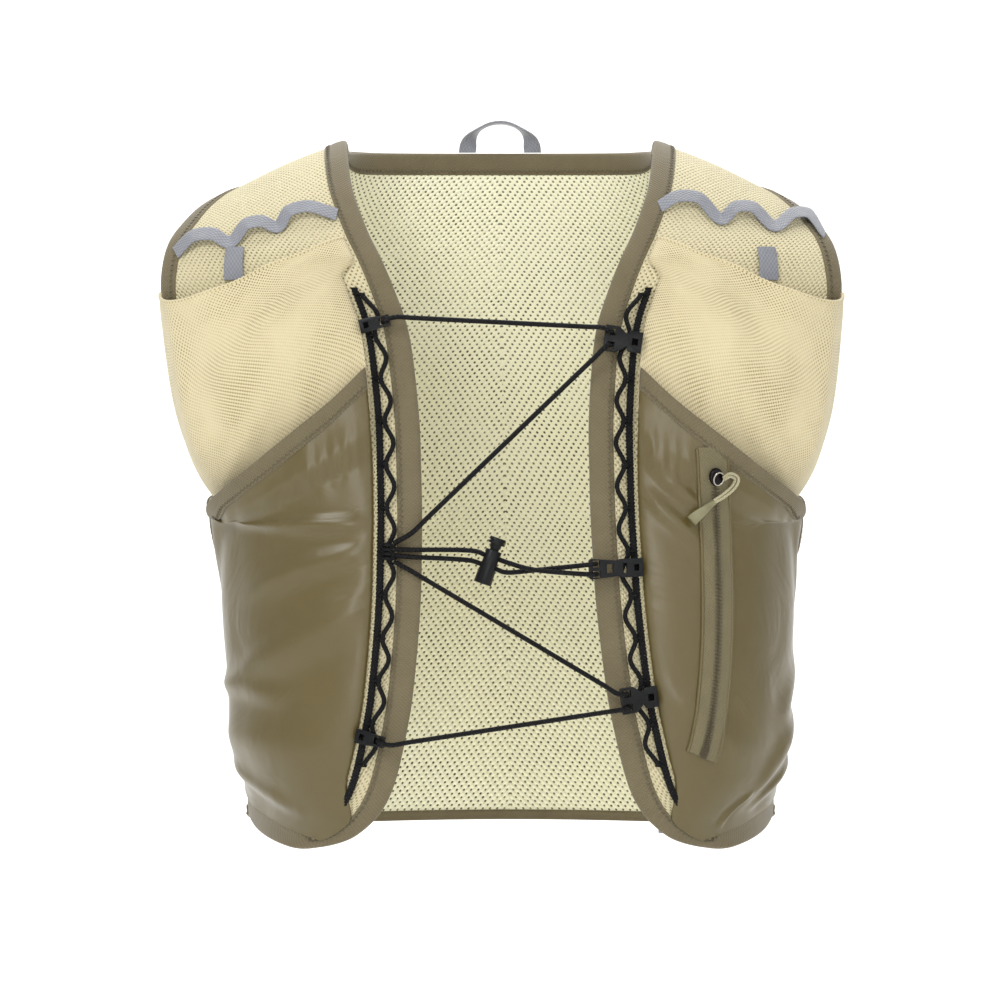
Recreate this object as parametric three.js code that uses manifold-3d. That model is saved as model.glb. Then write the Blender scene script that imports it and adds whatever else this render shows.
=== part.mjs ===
// A running hydration vest, shown as worn: open front laced with one elastic cord, mesh body, two bottle
// pockets and two woven lower pockets. Millimetres, +Z up, the front faces -Y, the picture's right is +X.
// The origin is midway between the undersides of the two shoulder straps, where shoulders carry the vest.
import * as THREE from "three";
import { mergeVertices } from "three/addons/utils/BufferGeometryUtils.js";
import Module from "manifold-3d";

const wasm = await Module();
wasm.setup();

// Driving sizes of the body
const vestHeight = 382; // shoulder seat to the lowest front hem
const halfWidth = 180; // centre line to the widest point of the armhole edge
const halfDepth = 100; // centre line to the chest or to the back
const hangSway = 6; // how far the hem hangs to the picture's right of the shoulders

// Cloth walls and the gaps between sewn pieces
const meshWall = 2.4;
const shellWall = 0.9;
const pocketWall = 1.0;
const sewnGap = 0.4;
const seamGap = 0.6;
const bindingWall = 0.9;
const bindingGap = 0.6;
const lipGap = 1; // cloth edge to the fold of its binding
const leastGap = 0.4; // where curved cloth comes nearest to a binding
const frontBindingWidth = 11;
const neckBindingWidth = 11;
const armholeBindingWidth = 8;

// Pockets. Heights are shares of vestHeight, widths are from the free front edge.
const pocketGap = 1.3; // pocket wall to the cloth it is sewn on
const pocketFromEdge = 23;
const pocketTopFromEdge = 13;
const bottleTop = { inner: -0.155, outer: -0.222 };
const pocketSplit = { inner: -0.335, outer: -0.5 }; // upper edge of the lower pocket
const bottleUnderlap = 0.055; // the bottle pocket reaches this far below that edge
const lowerHem = { inner: -0.93, outer: -0.91 };
const bottleDepth = 17;
const bottleMouth = 0.9; // share of bottleDepth left open at the top edge
const lowerDepth = 11;
const lowerMouth = 0.75;
const lowerSunk = 0.86; // how much nearer to the cloth the lower pocket is sewn than pocketGap
const bandWidth = 10;

// Loop rails and the wavy cord beside them
const railFromEdge = 19;
const railWidth = 3.6;
const railWall = 1.6;
const railTop = -0.222;
const railFoot = -0.93;
const loopCordDiameter = 2;
const loopReach = 5.8; // rail middle to the middle of a wave's crest
const loopPitch = 22.5;

// Lacing
const laceDiameter = 2.6;

// Front body sections, from the hem (first row) over the shoulder to the shoulder seam (last row).
// x is a share of halfWidth, y of halfDepth, z of vestHeight. full: 0 is a straight section, 1 a
// quarter ellipse.
const frontSections = [
  // xIn, yIn, zIn, xOut, yOut, zOut, full
  [0.575, -0.76, -0.997, 0.79, 0.08, -0.965, 0.6],
  [0.442, -0.89, -0.963, 0.79, 0.08, -0.92, 0.85],
  [0.358, -0.96, -0.911, 0.79, 0.08, -0.868, 1],
  [0.306, -1.0, -0.817, 0.795, 0.08, -0.8, 1],
  [0.283, -1.01, -0.746, 0.805, 0.08, -0.72, 1],
  [0.264, -1.02, -0.655, 0.817, 0.08, -0.615, 1],
  [0.256, -1.02, -0.576, 0.833, 0.08, -0.497, 1],
  [0.253, -1.01, -0.524, 0.856, -0.12, -0.48, 0.95],
  [0.253, -1.0, -0.471, 0.883, -0.29, -0.432, 0.9],
  [0.256, -0.98, -0.393, 0.933, -0.42, -0.366, 0.85],
  [0.278, -0.96, -0.288, 0.975, -0.56, -0.272, 0.75],
  [0.317, -0.92, -0.228, 0.992, -0.6, -0.22, 0.65],
  [0.356, -0.87, -0.183, 0.989, -0.56, -0.183, 0.6],
  [0.389, -0.8, -0.152, 0.975, -0.49, -0.152, 0.5],
  [0.422, -0.69, -0.113, 0.944, -0.37, -0.126, 0.4],
  [0.45, -0.54, -0.073, 0.906, -0.23, -0.101, 0.35],
  [0.467, -0.32, -0.029, 0.861, -0.08, -0.082, 0.3],
  [0.475, -0.06, -0.001, 0.822, 0.04, -0.073, 0.25],
  [0.478, 0.14, -0.003, 0.806, 0.14, -0.073, 0.25],
];
const underarmRow = 6; // below it the outer edge is the side seam, above it the armhole

// Back body sections, from the hem up to the shoulder blades. The side ends share the front's seam rows.
const backSections = [
  // yMid, zMid, xSide, ySide, zSide
  [0.92, -0.995, 0.79, 0.08, -0.965],
  [0.93, -0.955, 0.79, 0.08, -0.92],
  [0.945, -0.89, 0.79, 0.08, -0.868],
  [0.96, -0.8, 0.795, 0.08, -0.8],
  [0.965, -0.71, 0.805, 0.08, -0.72],
  [0.97, -0.61, 0.817, 0.08, -0.615],
  [0.965, -0.51, 0.833, 0.08, -0.497],
  [0.955, -0.435, 0.867, 0.26, -0.478],
  [0.945, -0.36, 0.9, 0.42, -0.425],
  [0.935, -0.285, 0.928, 0.53, -0.345],
  [0.925, -0.215, 0.944, 0.57, -0.262],
];
const neckBack = { y: 0.9, z: 0.013 }; // middle of the back neck edge, as shares of halfDepth and vestHeight
const neckShare = 0.5; // share of the top edge, from the middle, that is the neck
const upperRows = 5;

// One-dimensional helpers
const lerp = (a, b, f) => a + (b - a) * f;
const clamp01 = (f) => Math.min(1, Math.max(0, f));
const smooth = (f) => clamp01(f) ** 2 * (3 - 2 * clamp01(f));
const range = (n) => Array.from({ length: n }, (_, i) => i);

// A row of the table at a fractional index, on a Catmull-Rom curve through the rows.
function rowAt(table, t) {
  const last = table.length - 1;
  const i = Math.min(last - 1, Math.max(0, Math.floor(t)));
  const f = t - i;
  const at = (k) => table[Math.min(last, Math.max(0, k))];
  return table[i].map((_, c) => {
    const [a, b, d, e] = [at(i - 1)[c], at(i)[c], at(i + 1)[c], at(i + 2)[c]];
    return b + 0.5 * f * (d - a + f * (2 * a - 5 * b + 4 * d - e + f * (3 * (b - d) + e - a)));
  });
}

// Front body: s from the free front edge (0) to the side or armhole edge (1), t a row index of frontSections.
function frontPoint(s, t) {
  const [xIn, yIn, zIn, xOut, yOut, zOut, full] = rowAt(frontSections, t);
  const across = lerp(s, Math.sin((s * Math.PI) / 2), full);
  const round = lerp(s, 1 - Math.cos((s * Math.PI) / 2), full);
  return new THREE.Vector3(
    lerp(xIn, xOut, across) * halfWidth,
    lerp(yIn, yOut, round) * halfDepth,
    lerp(zIn, zOut, round) * vestHeight,
  );
}

// Back body: s from the middle (0) to the side (1), t a row index of backSections, then one more step of
// upperRows to the neck edge and shoulder seam, on a Hermite curve that rounds the shoulder blade.
const lastBack = backSections.length - 1;
function backSection(s, t) {
  const [yMid, zMid, xSide, ySide, zSide] = rowAt(backSections, t);
  return new THREE.Vector3(
    xSide * Math.sin((s * Math.PI) / 2) * halfWidth,
    lerp(yMid, ySide, 1 - Math.cos((s * Math.PI) / 2)) * halfDepth + seamGap,
    lerp(zMid, zSide, s ** 4) * vestHeight,
  );
}
function backTop(s) {
  const inner = frontPoint(0, frontSections.length - 1);
  const outer = frontPoint(1, frontSections.length - 1);
  if (s >= neckShare) {
    const along = frontPoint((s - neckShare) / (1 - neckShare), frontSections.length - 1);
    return along.setY(along.y + seamGap);
  }
  const angle = (s / neckShare) * (Math.PI / 2);
  const y = lerp(inner.y + seamGap, neckBack.y * halfDepth, Math.cos(angle) ** 0.8);
  return new THREE.Vector3(
    inner.x * Math.sin(angle) ** 0.8,
    y,
    lerp(neckBack.z * vestHeight, inner.z, 1 - Math.cos(angle)),
  );
}
function backPoint(s, t) {
  if (t <= lastBack) return backSection(s, t);
  const v = t - lastBack;
  const low = backSection(s, lastBack);
  const top = backTop(s);
  const reach = low.distanceTo(top);
  const overShoulder = smooth((s - neckShare * 0.5) / (neckShare * 0.6));
  const rise = new THREE.Vector3(0, -0.05, 1).multiplyScalar(reach);
  const arrive = new THREE.Vector3(0, lerp(-0.1, -1, overShoulder), lerp(1, 0.25, overShoulder));
  arrive.multiplyScalar(reach);
  const [v2, v3] = [v * v, v * v * v];
  return low
    .clone()
    .multiplyScalar(2 * v3 - 3 * v2 + 1)
    .addScaledVector(rise, v3 - 2 * v2 + v)
    .addScaledVector(top, 3 * v2 - 2 * v3)
    .addScaledVector(arrive, v3 - v2);
}

// The outward normal of a body surface, from small steps of its two parameters.
function normalOf(point, s, t, lastRow, outward) {
  const e = 0.02;
  const [s0, s1] = [Math.max(0, s - e), Math.min(1, s + e)];
  const [t0, t1] = [Math.max(0, t - e), Math.min(lastRow, t + e)];
  const across = point(s1, t).sub(point(s0, t));
  const up = point(s, t1).sub(point(s, t0));
  return across.cross(up).normalize().multiplyScalar(outward);
}
const frontRows = frontSections.length - 1;
const backRows = lastBack + 1;
function frontOff(s, t, out) {
  return frontPoint(s, t).addScaledVector(normalOf(frontPoint, s, t, frontRows, 1), out);
}
function backOff(s, t, out) {
  // The middle line's normal stays in the middle plane, so that the two halves meet.
  const n = normalOf(backPoint, s, t, backRows, -1);
  if (s === 0) n.setX(0).normalize();
  return backPoint(s, t).addScaledVector(n, out);
}

// Geometry from vertices and triangles, turned outwards.
function geometryOf(vertices, triangles) {
  const flat = vertices.flatMap((p) => [p.x, p.y, p.z]);
  let volume = 0;
  for (const [a, b, c] of triangles)
    volume += vertices[a].dot(vertices[b].clone().cross(vertices[c]));
  const turned = volume < 0 ? triangles.map(([a, b, c]) => [a, c, b]) : triangles;
  const g = new THREE.BufferGeometry();
  g.setAttribute("position", new THREE.Float32BufferAttribute(flat, 3));
  g.setIndex(turned.flat());
  return g;
}

// Two triangles of a four-sided face, split along its shorter diagonal.
function shortSplit(vertices, a, b, c, d) {
  const across = vertices[a].distanceTo(vertices[c]) - vertices[b].distanceTo(vertices[d]);
  return across < 1e-6 ? [[a, b, c], [a, c, d]] : [[a, b, d], [b, c, d]];
}

// A surface's grid of columns and rows, read between them as straight lines: i and j are indices into the
// grid (past its ends they run straight on), out is the distance off the surface.
function gridOf(point, columns, rows) {
  const cell = (k, n) => Math.min(n - 2, Math.max(0, Math.floor(k)));
  return (i, j, out) => {
    const [i0, j0] = [cell(i, columns.length), cell(j, rows.length)];
    const corner = (a, b) => point(columns[i0 + a], rows[j0 + b], out);
    const low = corner(0, 0).lerp(corner(1, 0), i - i0);
    return low.lerp(corner(0, 1).lerp(corner(1, 1), i - i0), j - j0);
  };
}

// A cloth wall: the grid at two distances from the surface, closed all round, and past the grid's edges by a
// share of a cell.
function wall(grid, columns, rows, low, high, past = 0) {
  const beyond = (k, n) => k + past * (k === n - 1) - past * (k === 0);
  const vertices = [];
  const index = (i, j, side) => (side * rows + j) * columns + i;
  for (const side of [0, 1])
    for (const j of range(rows))
      for (const i of range(columns))
        vertices.push(grid(beyond(i, columns), beyond(j, rows), side ? high : low));
  const triangles = [];
  const quad = (a, b, c, d) => triangles.push([a, b, c], [a, c, d]);
  const [m, n] = [columns - 1, rows - 1];
  for (const j of range(n))
    for (const i of range(m)) {
      // Both faces split each cell along the diagonal that is shorter on the surface itself.
      const corners = [
        [i, j],
        [i + 1, j],
        [i + 1, j + 1],
        [i, j + 1],
      ];
      const split = shortSplit(corners.map(([a, b]) => grid(a, b, 0)), 0, 1, 2, 3);
      for (const face of split) {
        const [a, b, c] = face.map((k) => corners[k]);
        triangles.push([index(...a, 1), index(...b, 1), index(...c, 1)]);
        triangles.push([index(...a, 0), index(...c, 0), index(...b, 0)]);
      }
    }
  for (const i of range(m)) {
    quad(index(i, 0, 0), index(i + 1, 0, 0), index(i + 1, 0, 1), index(i, 0, 1));
    quad(index(i, n, 0), index(i, n, 1), index(i + 1, n, 1), index(i + 1, n, 0));
  }
  for (const j of range(n)) {
    quad(index(0, j, 0), index(0, j, 1), index(0, j + 1, 1), index(0, j + 1, 0));
    quad(index(m, j, 0), index(m, j + 1, 0), index(m, j + 1, 1), index(m, j, 1));
  }
  return geometryOf(vertices, triangles);
}

// A bar with a section given at each station as a ring of points, an even number, of which each faces its
// opposite across the bar. A closed bar joins its last ring to its first.
function bar(rings, closed = false) {
  const n = rings[0].length;
  const vertices = rings.flat();
  const triangles = [];
  const steps = closed ? rings.length : rings.length - 1;
  for (const k of range(steps))
    for (const i of range(n)) {
      const [a, b] = [k * n, ((k + 1) % rings.length) * n];
      const j = (i + 1) % n;
      triangles.push(...shortSplit(vertices, a + i, a + j, b + j, b + i));
    }
  if (!closed) {
    const end = (rings.length - 1) * n;
    for (const i of range(n / 2 - 1)) {
      const [a, b, c, d] = [i, i + 1, n - 2 - i, n - 1 - i];
      triangles.push([a, c, b], [a, d, c]);
      triangles.push([end + a, end + b, end + c], [end + a, end + c, end + d]);
    }
  }
  return geometryOf(vertices, triangles);
}

// Solids for joining and cutting, and back to geometry.
function solid(geometry) {
  const g = geometry.index ? geometry.toNonIndexed() : geometry.clone();
  for (const name of Object.keys(g.attributes)) if (name !== "position") g.deleteAttribute(name);
  const merged = mergeVertices(g, 1e-4);
  return new wasm.Manifold(
    new wasm.Mesh({
      numProp: 3,
      vertProperties: merged.attributes.position.array,
      triVerts: new Uint32Array(merged.index.array),
    }),
  );
}
function largestPart(manifold) {
  return manifold.decompose().reduce((a, b) => (b.volume() > a.volume() ? b : a));
}
function geometryFrom(manifold) {
  const mesh = largestPart(manifold).getMesh();
  const g = new THREE.BufferGeometry();
  const positions = [];
  for (const i of range(mesh.numVert))
    positions.push(...mesh.vertProperties.subarray(i * mesh.numProp, i * mesh.numProp + 3));
  g.setAttribute("position", new THREE.Float32BufferAttribute(positions, 3));
  g.setIndex(Array.from(mesh.triVerts));
  return g;
}
const cut = (geometry, ...cutters) =>
  geometryFrom(cutters.reduce((a, c) => a.subtract(solid(c)), solid(geometry)));
const join = (...geometries) => geometryFrom(geometries.map(solid).reduce((a, b) => a.add(b)));

// Materials, as the photograph shows them
const finish = (color, roughness, metalness = 0) =>
  new THREE.MeshStandardMaterial({ color, roughness, metalness });
const backMeshCloth = finish(0xe4e0b8, 0.9);
const frontMeshCloth = finish(0xd9cca4, 0.9);
const pocketMeshCloth = finish(0xe3d7ad, 0.85);
const wovenNylon = finish(0x857b58, 0.45);
const bindingKnit = finish(0x857a60, 0.85);
const greyWebbing = finish(0x83858f, 0.6);
const blackElastic = finish(0x15151a, 0.7);
const blackAcetal = finish(0x17181c, 0.4);
const darkMetal = finish(0x2b2426, 0.35, 0.8);
const zipTapeCloth = finish(0x8f8668, 0.8);
const pullCord = finish(0xb9b492, 0.7);

const vest = new THREE.Group();

// Hangs the finished shape to one side, more towards the hem, and adds it as a named mesh. A hard piece
// moves as one, by the sway at its height.
const sway = (z) => hangSway * smooth(-z / vestHeight);
function add(name, geometry, material, { mirrored = false, hardAt = null } = {}) {
  const g = geometry.clone();
  const p = g.attributes.position;
  for (const i of range(p.count)) {
    const x = mirrored ? -p.getX(i) : p.getX(i);
    p.setX(i, x + sway(hardAt ?? p.getZ(i)));
  }
  if (mirrored) {
    const turned = [];
    const indices = g.index.array;
    for (let i = 0; i < indices.length; i += 3)
      turned.push(indices[i], indices[i + 2], indices[i + 1]);
    g.setIndex(turned);
  }
  const mesh = new THREE.Mesh(g, material);
  mesh.name = name;
  vest.add(mesh);
}
function addPair(name, geometry, material) {
  add(name + "_left", geometry, material, { mirrored: true });
  add(name + "_right", geometry, material);
}

// Body cloth
const frontColumns = [0, 0.13, 0.27, 0.42, 0.57, 0.72, 0.86, 1];
const frontGrid = gridOf(frontOff, frontColumns, range(frontRows + 1));
const [frontLastColumn, frontLastRow] = [frontColumns.length - 1, frontRows];
addPair(
  "front_mesh",
  wall(frontGrid, frontColumns.length, frontRows + 1, 0, meshWall),
  frontMeshCloth,
);

const halfColumns = [0, 0.13, 0.25, 0.37, neckShare, 0.62, 0.75, 0.87, 1];
const backColumns = [...halfColumns.slice(1).reverse().map((s) => -s), ...halfColumns];
const backRowList = [
  ...range(lastBack + 1),
  ...range(upperRows).map((k) => lastBack + (k + 1) / upperRows),
];
function backBoth(u, t, out) {
  const p = backOff(Math.abs(u), t, out);
  return u < 0 ? p.setX(-p.x) : p;
}
const backGrid = gridOf(backBoth, backColumns, backRowList);
const [backLastColumn, backLastRow] = [backColumns.length - 1, backRowList.length - 1];
const shellLow = meshWall + sewnGap;
const backWall = shellLow + shellWall;
const backPanel = (low, high, past) =>
  wall(backGrid, backColumns.length, backRowList.length, low, high, past);
add("back_mesh", backPanel(0, meshWall), backMeshCloth);
add("back_shell", backPanel(shellLow, backWall), wovenNylon);

// Bindings: a tape folded over a cloth edge. A station is a place on the cloth's grid, i and j, and the way
// inwards from the edge, toI and toJ; the cloth there is thick. The folded section has eight corners.
function tapeRings(grid, stations, width, thick) {
  return stations.map(([i, j, toI, toJ]) => {
    const edge = grid(i, j, 0);
    const perI = toI && toI / edge.distanceTo(grid(i + toI, j, 0));
    const perJ = toJ && toJ / edge.distanceTo(grid(i, j + toJ, 0));
    const place = (u, out) => grid(i + u * perI, j + u * perJ, out);
    const [low, high] = [-bindingGap, thick + bindingGap];
    const [under, over] = [low - bindingWall, high + bindingWall];
    const lip = -lipGap - bindingWall;
    return [
      place(width, under),
      place(lip, under),
      place(lip, over),
      place(width, over),
      place(width, high),
      place(-lipGap, high),
      place(-lipGap, low),
      place(width, low),
    ];
  });
}

const fatPast = 0.04;
const frontFat = wall(
  frontGrid,
  frontColumns.length,
  frontRows + 1,
  -leastGap,
  meshWall + leastGap,
  fatPast,
);
const backFat = backPanel(-leastGap, backWall + leastGap, fatPast);

// Front edge binding: down the free edge from the shoulder seam, round the corner and along the hem.
const frontEdge = [
  ...range(frontLastRow).map((k) => [0, frontLastRow - k, 1, 0]),
  [0, 0, 1, 1],
  ...range(frontLastColumn).map((k) => [k + 1, 0, 0, 1]),
];
addPair(
  "front_binding",
  cut(bar(tapeRings(frontGrid, frontEdge, frontBindingWidth, meshWall)), frontFat),
  bindingKnit,
);

// Neck binding: round the back of the neck, from one front binding to the other.
const neckEnds = [-neckShare, neckShare].map((u) => backColumns.indexOf(u));
const neckEdge = range(neckEnds[1] - neckEnds[0] + 1).map((k) => [
  lerp(neckEnds[0] + 0.06, neckEnds[1] - 0.06, k / (neckEnds[1] - neckEnds[0])),
  backLastRow,
  0,
  -1,
]);
const neckTape = bar(tapeRings(backGrid, neckEdge, neckBindingWidth, backWall));
add("neck_binding", cut(neckTape, backFat), bindingKnit);

// Back hem binding, from side seam to side seam.
const hemEdge = range(backLastColumn + 1).map((k) => [k, 0, 0, 1]);
const hemTape = bar(tapeRings(backGrid, hemEdge, armholeBindingWidth, backWall));
add("back_hem_binding", hemTape, bindingKnit);

// Armhole binding: a closed loop up the front edge and down the back edge.
const armFront = range(frontLastRow - underarmRow).map((k) => [
  frontLastColumn,
  underarmRow + 1 + k,
  -1,
  0,
]);
const armBack = range(backLastRow - underarmRow).map((k) => [backLastColumn, backLastRow - 1 - k, -1, 0]);
const armTape = bar(
  [
    ...tapeRings(frontGrid, armFront, armholeBindingWidth, meshWall),
    ...tapeRings(backGrid, armBack, armholeBindingWidth, backWall),
  ],
  true,
);
addPair("armhole_binding", cut(armTape, frontFat, backFat), bindingKnit);

// Places on the front, read from the free edge and the height rather than from the tables.
function shareAcross(t, fromEdge) {
  const step = 0.1;
  return (step * fromEdge) / frontPoint(0, t).distanceTo(frontPoint(step, t));
}
function solve(value, low, high, target) {
  const rising = value(high) > value(low);
  for (const _ of range(24)) {
    const middle = (low + high) / 2;
    if (value(middle) < target === rising) low = middle;
    else high = middle;
  }
  return (low + high) / 2;
}
const rowAtHeight = (height, fromEdge) =>
  solve((t) => frontPoint(shareAcross(t, fromEdge), t).z, 0, frontRows - 2, height * vestHeight);
const onFront = (fromEdge, t, out) => frontOff(shareAcross(t, fromEdge), t, out);

// Pockets. How far the bottle pocket stands off the front at s and t: nothing at its sides and foot,
// most in the middle, less at its mouth.
const outerRow = (height) => solve((t) => frontPoint(1, t).z, 0, frontRows - 2, height * vestHeight);
const rowsBetween = ({ inner, outer }) => [rowAtHeight(inner, pocketFromEdge), outerRow(outer)];
const topRows = rowsBetween(bottleTop);
const splitRows = rowsBetween(pocketSplit);
const footRows = rowsBetween({
  inner: pocketSplit.inner - bottleUnderlap,
  outer: pocketSplit.outer - bottleUnderlap,
});
const hemRows = rowsBetween(lowerHem);
function pocketShare(u, t) {
  const nearTop = smooth((t - railTopRow - 0.3) / 0.6);
  const inner = shareAcross(t, lerp(pocketFromEdge, pocketTopFromEdge, nearTop));
  return lerp(inner, 0.97, u);
}
const railTopRow = rowAtHeight(railTop, railFromEdge);
const overBinding = bindingGap + bindingWall + sewnGap;
function bottleStand(u, t) {
  const foot = lerp(...footRows, u);
  const along = clamp01((t - foot) / (lerp(...topRows, u) - foot));
  const length = smooth(along / 0.45) * lerp(1, bottleMouth, smooth((along - 0.5) / 0.5));
  return bottleDepth * Math.sin(Math.PI * clamp01(u)) ** 0.75 * length;
}
const seat = (u) => meshWall + pocketGap + overBinding * smooth((u - 0.55) / 0.2);
function bottleOff(u, v, out) {
  const t = lerp(lerp(...footRows, u), lerp(...topRows, u), v);
  return frontOff(pocketShare(u, t), t, seat(u) + bottleStand(u, t) + out);
}
function lowerOff(u, v, out) {
  const split = lerp(...splitRows, u);
  const t = lerp(lerp(...hemRows, u), split, v);
  const length = smooth(v / 0.3) * lerp(1, lowerMouth, smooth((v - 0.6) / 0.4));
  const own = (lowerDepth + lowerSunk) * Math.sin(Math.PI * clamp01(u)) ** 0.6 * length - lowerSunk;
  const over = (pocketWall + pocketGap + overBinding) * smooth((t - lerp(...footRows, u) + 0.9) / 0.7);
  return frontOff(pocketShare(u, t), t, seat(u) + bottleStand(u, t) + over + own + out);
}
const bottleColumns = [0, 0.1, 0.24, 0.4, 0.57, 0.74, 0.88, 1];
const bottleRows = [0, 0.16, 0.34, 0.52, 0.7, 0.85, 1];
const bottleGrid = gridOf(bottleOff, bottleColumns, bottleRows);
addPair(
  "bottle_pocket",
  wall(bottleGrid, bottleColumns.length, bottleRows.length, 0, pocketWall),
  pocketMeshCloth,
);
const lowerRows = [0, 0.14, 0.3, 0.46, 0.62, 0.76, 0.89, 1];
const lowerGrid = gridOf(lowerOff, bottleColumns, lowerRows);
const lowerPocket = wall(lowerGrid, bottleColumns.length, lowerRows.length, 0, pocketWall);
addPair("lower_pocket", lowerPocket, wovenNylon);
const bandEdge = range(bottleColumns.length).map((k) => [k, lowerRows.length - 1, 0, -1]);
const lowerFat = wall(
  lowerGrid,
  bottleColumns.length,
  lowerRows.length,
  -leastGap,
  pocketWall + leastGap,
  fatPast,
);
const band = cut(bar(tapeRings(lowerGrid, bandEdge, bandWidth, pocketWall)), lowerFat);
addPair("pocket_binding", band, bindingKnit);

// Frames on the front: across points to the free edge, up along the rail, out off the cloth.
function frameAt(fromEdge, t, out) {
  const origin = onFront(fromEdge, t, out);
  const up = onFront(fromEdge, t + 0.05, out).sub(onFront(fromEdge, t - 0.05, out)).normalize();
  const across = normalOf(frontPoint, shareAcross(t, fromEdge), t, frontRows, 1).cross(up).normalize();
  return { origin, up, across, off: up.clone().cross(across) };
}
const from = ({ origin, up, off, across }, a, b, c) =>
  origin.clone().addScaledVector(across, a).addScaledVector(up, b).addScaledVector(off, c);

// A round cord along points, with sides facets. A point may be followed by others in a list of lists.
function cord(points, diameter, sides = 6) {
  let side = new THREE.Vector3(0, 1, 0);
  const rings = points.map((point, k) => {
    const ahead = points[Math.min(points.length - 1, k + 1)];
    const behind = points[Math.max(0, k - 1)];
    const tangent = ahead.clone().sub(behind).normalize();
    side = side.clone().addScaledVector(tangent, -side.dot(tangent)).normalize();
    const other = tangent.clone().cross(side);
    return range(sides).map((i) => {
      const angle = ((i + 0.5) / sides) * 2 * Math.PI;
      return point
        .clone()
        .addScaledVector(side, (Math.cos(angle) * diameter) / 2)
        .addScaledVector(other, (Math.sin(angle) * diameter) / 2);
    });
  });
  return bar(rings);
}
const smoothCurve = (points, count) =>
  new THREE.CatmullRomCurve3(points, false, "centripetal").getPoints(count);

const clipHeights = {
  topLeft: -0.275,
  topRight: -0.297,
  middleRight: -0.602,
  bottomLeft: -0.832,
  bottomRight: -0.778,
};

// Loop rail: a flat tape sewn between the front binding and the pockets.
const railFootRow = rowAtHeight(railFoot, railFromEdge);
const clipRows = Object.values(clipHeights).map((height) => rowAtHeight(height, railFromEdge));
const railRows = [
  railTopRow,
  railFootRow,
  ...clipRows,
  ...range(frontRows).filter(
    (t) => t > railFootRow && t < railTopRow && clipRows.every((row) => Math.abs(t - row) > 0.3),
  ),
].sort((a, b) => b - a);
const railSeat = meshWall + sewnGap + 0.3;
const railRings = railRows.map((t) => {
  const place = (a, c) => onFront(railFromEdge + a, t, railSeat + c);
  const half = railWidth / 2;
  return [place(-half, 0), place(half, 0), place(half, railWall), place(-half, railWall)];
});
addPair("loop_rail", bar(railRings), blackElastic);

// Distances along the rail, from its top, and the row at one of them.
const railSteps = 60;
const railLengths = [0];
const railRow = (k) => lerp(railTopRow, railFootRow, k / railSteps);
for (const k of range(railSteps)) {
  const step = onFront(railFromEdge, railRow(k), 0).distanceTo(onFront(railFromEdge, railRow(k + 1), 0));
  railLengths.push(railLengths[k] + step);
}
function rowAlongRail(distance) {
  const k = Math.min(railSteps - 1, railLengths.findIndex((length) => length > distance) - 1);
  const share = (distance - railLengths[k]) / (railLengths[k + 1] - railLengths[k]);
  return railRow(Math.max(0, k) + share);
}

// Wavy cord: from crest to crest it comes back to the rail's inner edge.
const waves = Math.floor((railLengths[railSteps] - 8) / loopPitch);
const waveSamples = 5;
const wavePoints = range(waves * waveSamples + 1).map((k) => {
  const phase = k / waveSamples;
  const t = rowAlongRail(4 + phase * loopPitch);
  const nearest = railWidth / 2 + loopCordDiameter / 2 + sewnGap;
  const reach = lerp(nearest, loopReach, Math.sin(Math.PI * phase) ** 2);
  return onFront(railFromEdge - reach, t, meshWall + overBinding + loopCordDiameter / 2);
});
addPair("loop_cord", cord(wavePoints, loopCordDiameter, 4), blackElastic);

// Clips on the rail. Each is a flat plate with a window over the rail, a leg down the rail's outer side, and
// a tail towards the free edge with slots for a lace.
const clipWall = 2.2;
const clipLift = 6.9; // cloth's inner face to the plate's underside
const clipLeg = 1;
const clipRoom = 0.4;
function box(width, height, depth, x, y, z) {
  return new THREE.BoxGeometry(width, height, depth).translate(x, y, z);
}
function plate(outline, windows, thickness) {
  const shape = new THREE.Shape(outline.map(([x, y]) => new THREE.Vector2(x, y)));
  const whole = new THREE.ExtrudeGeometry(shape, { depth: thickness, bevelEnabled: false });
  return cut(whole, ...windows.map(([x, y, w, h]) => box(w, h, 3 * thickness, x, y, thickness / 2)));
}
function clipAt(height, tail) {
  const t = rowAtHeight(height, railFromEdge);
  const frame = frameAt(railFromEdge, t, 0);
  const place = new THREE.Matrix4().makeBasis(frame.across, frame.up.clone().negate(), frame.off);
  place.setPosition(frame.origin);
  const half = railWidth / 2 + clipRoom + clipLeg / 2;
  const legTop = clipLift + 0.2;
  const leg = box(clipLeg, tail.height, legTop - railSeat, -half, 0, (legTop + railSeat) / 2);
  const body = plate(tail.outline, tail.windows, clipWall).translate(0, 0, clipLift);
  return { frame, geometry: join(body, leg).applyMatrix4(place) };
}
const bodyHalf = 3.4;
const slider = {
  height: 6,
  outline: [
    [-bodyHalf, -5.5],
    [bodyHalf, -5.5],
    [bodyHalf + 1.2, -3],
    [9.2, -6.8],
    [16.5, -6.8],
    [16.5, 6.8],
    [9.2, 6.8],
    [bodyHalf + 1.2, 3],
    [bodyHalf, 5.5],
    [-bodyHalf, 5.5],
  ],
  windows: [
    [0.4, 0, 3.2, 3.6],
    [12.8, 3.6, 3.6, 3.6],
    [12.8, -3.6, 3.6, 3.6],
  ],
};
const hook = {
  height: 5,
  outline: [
    [-bodyHalf, -3.7],
    [bodyHalf, -3.7],
    [8.4, -2.9],
    [12.6, -2.9],
    [12.6, 2.9],
    [8.4, 2.9],
    [bodyHalf, 3.7],
    [-bodyHalf, 3.7],
  ],
  windows: [
    [0, 0, 2.6, 3.2],
    [8.9, 0, 3.6, 3.6],
  ],
};
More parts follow.
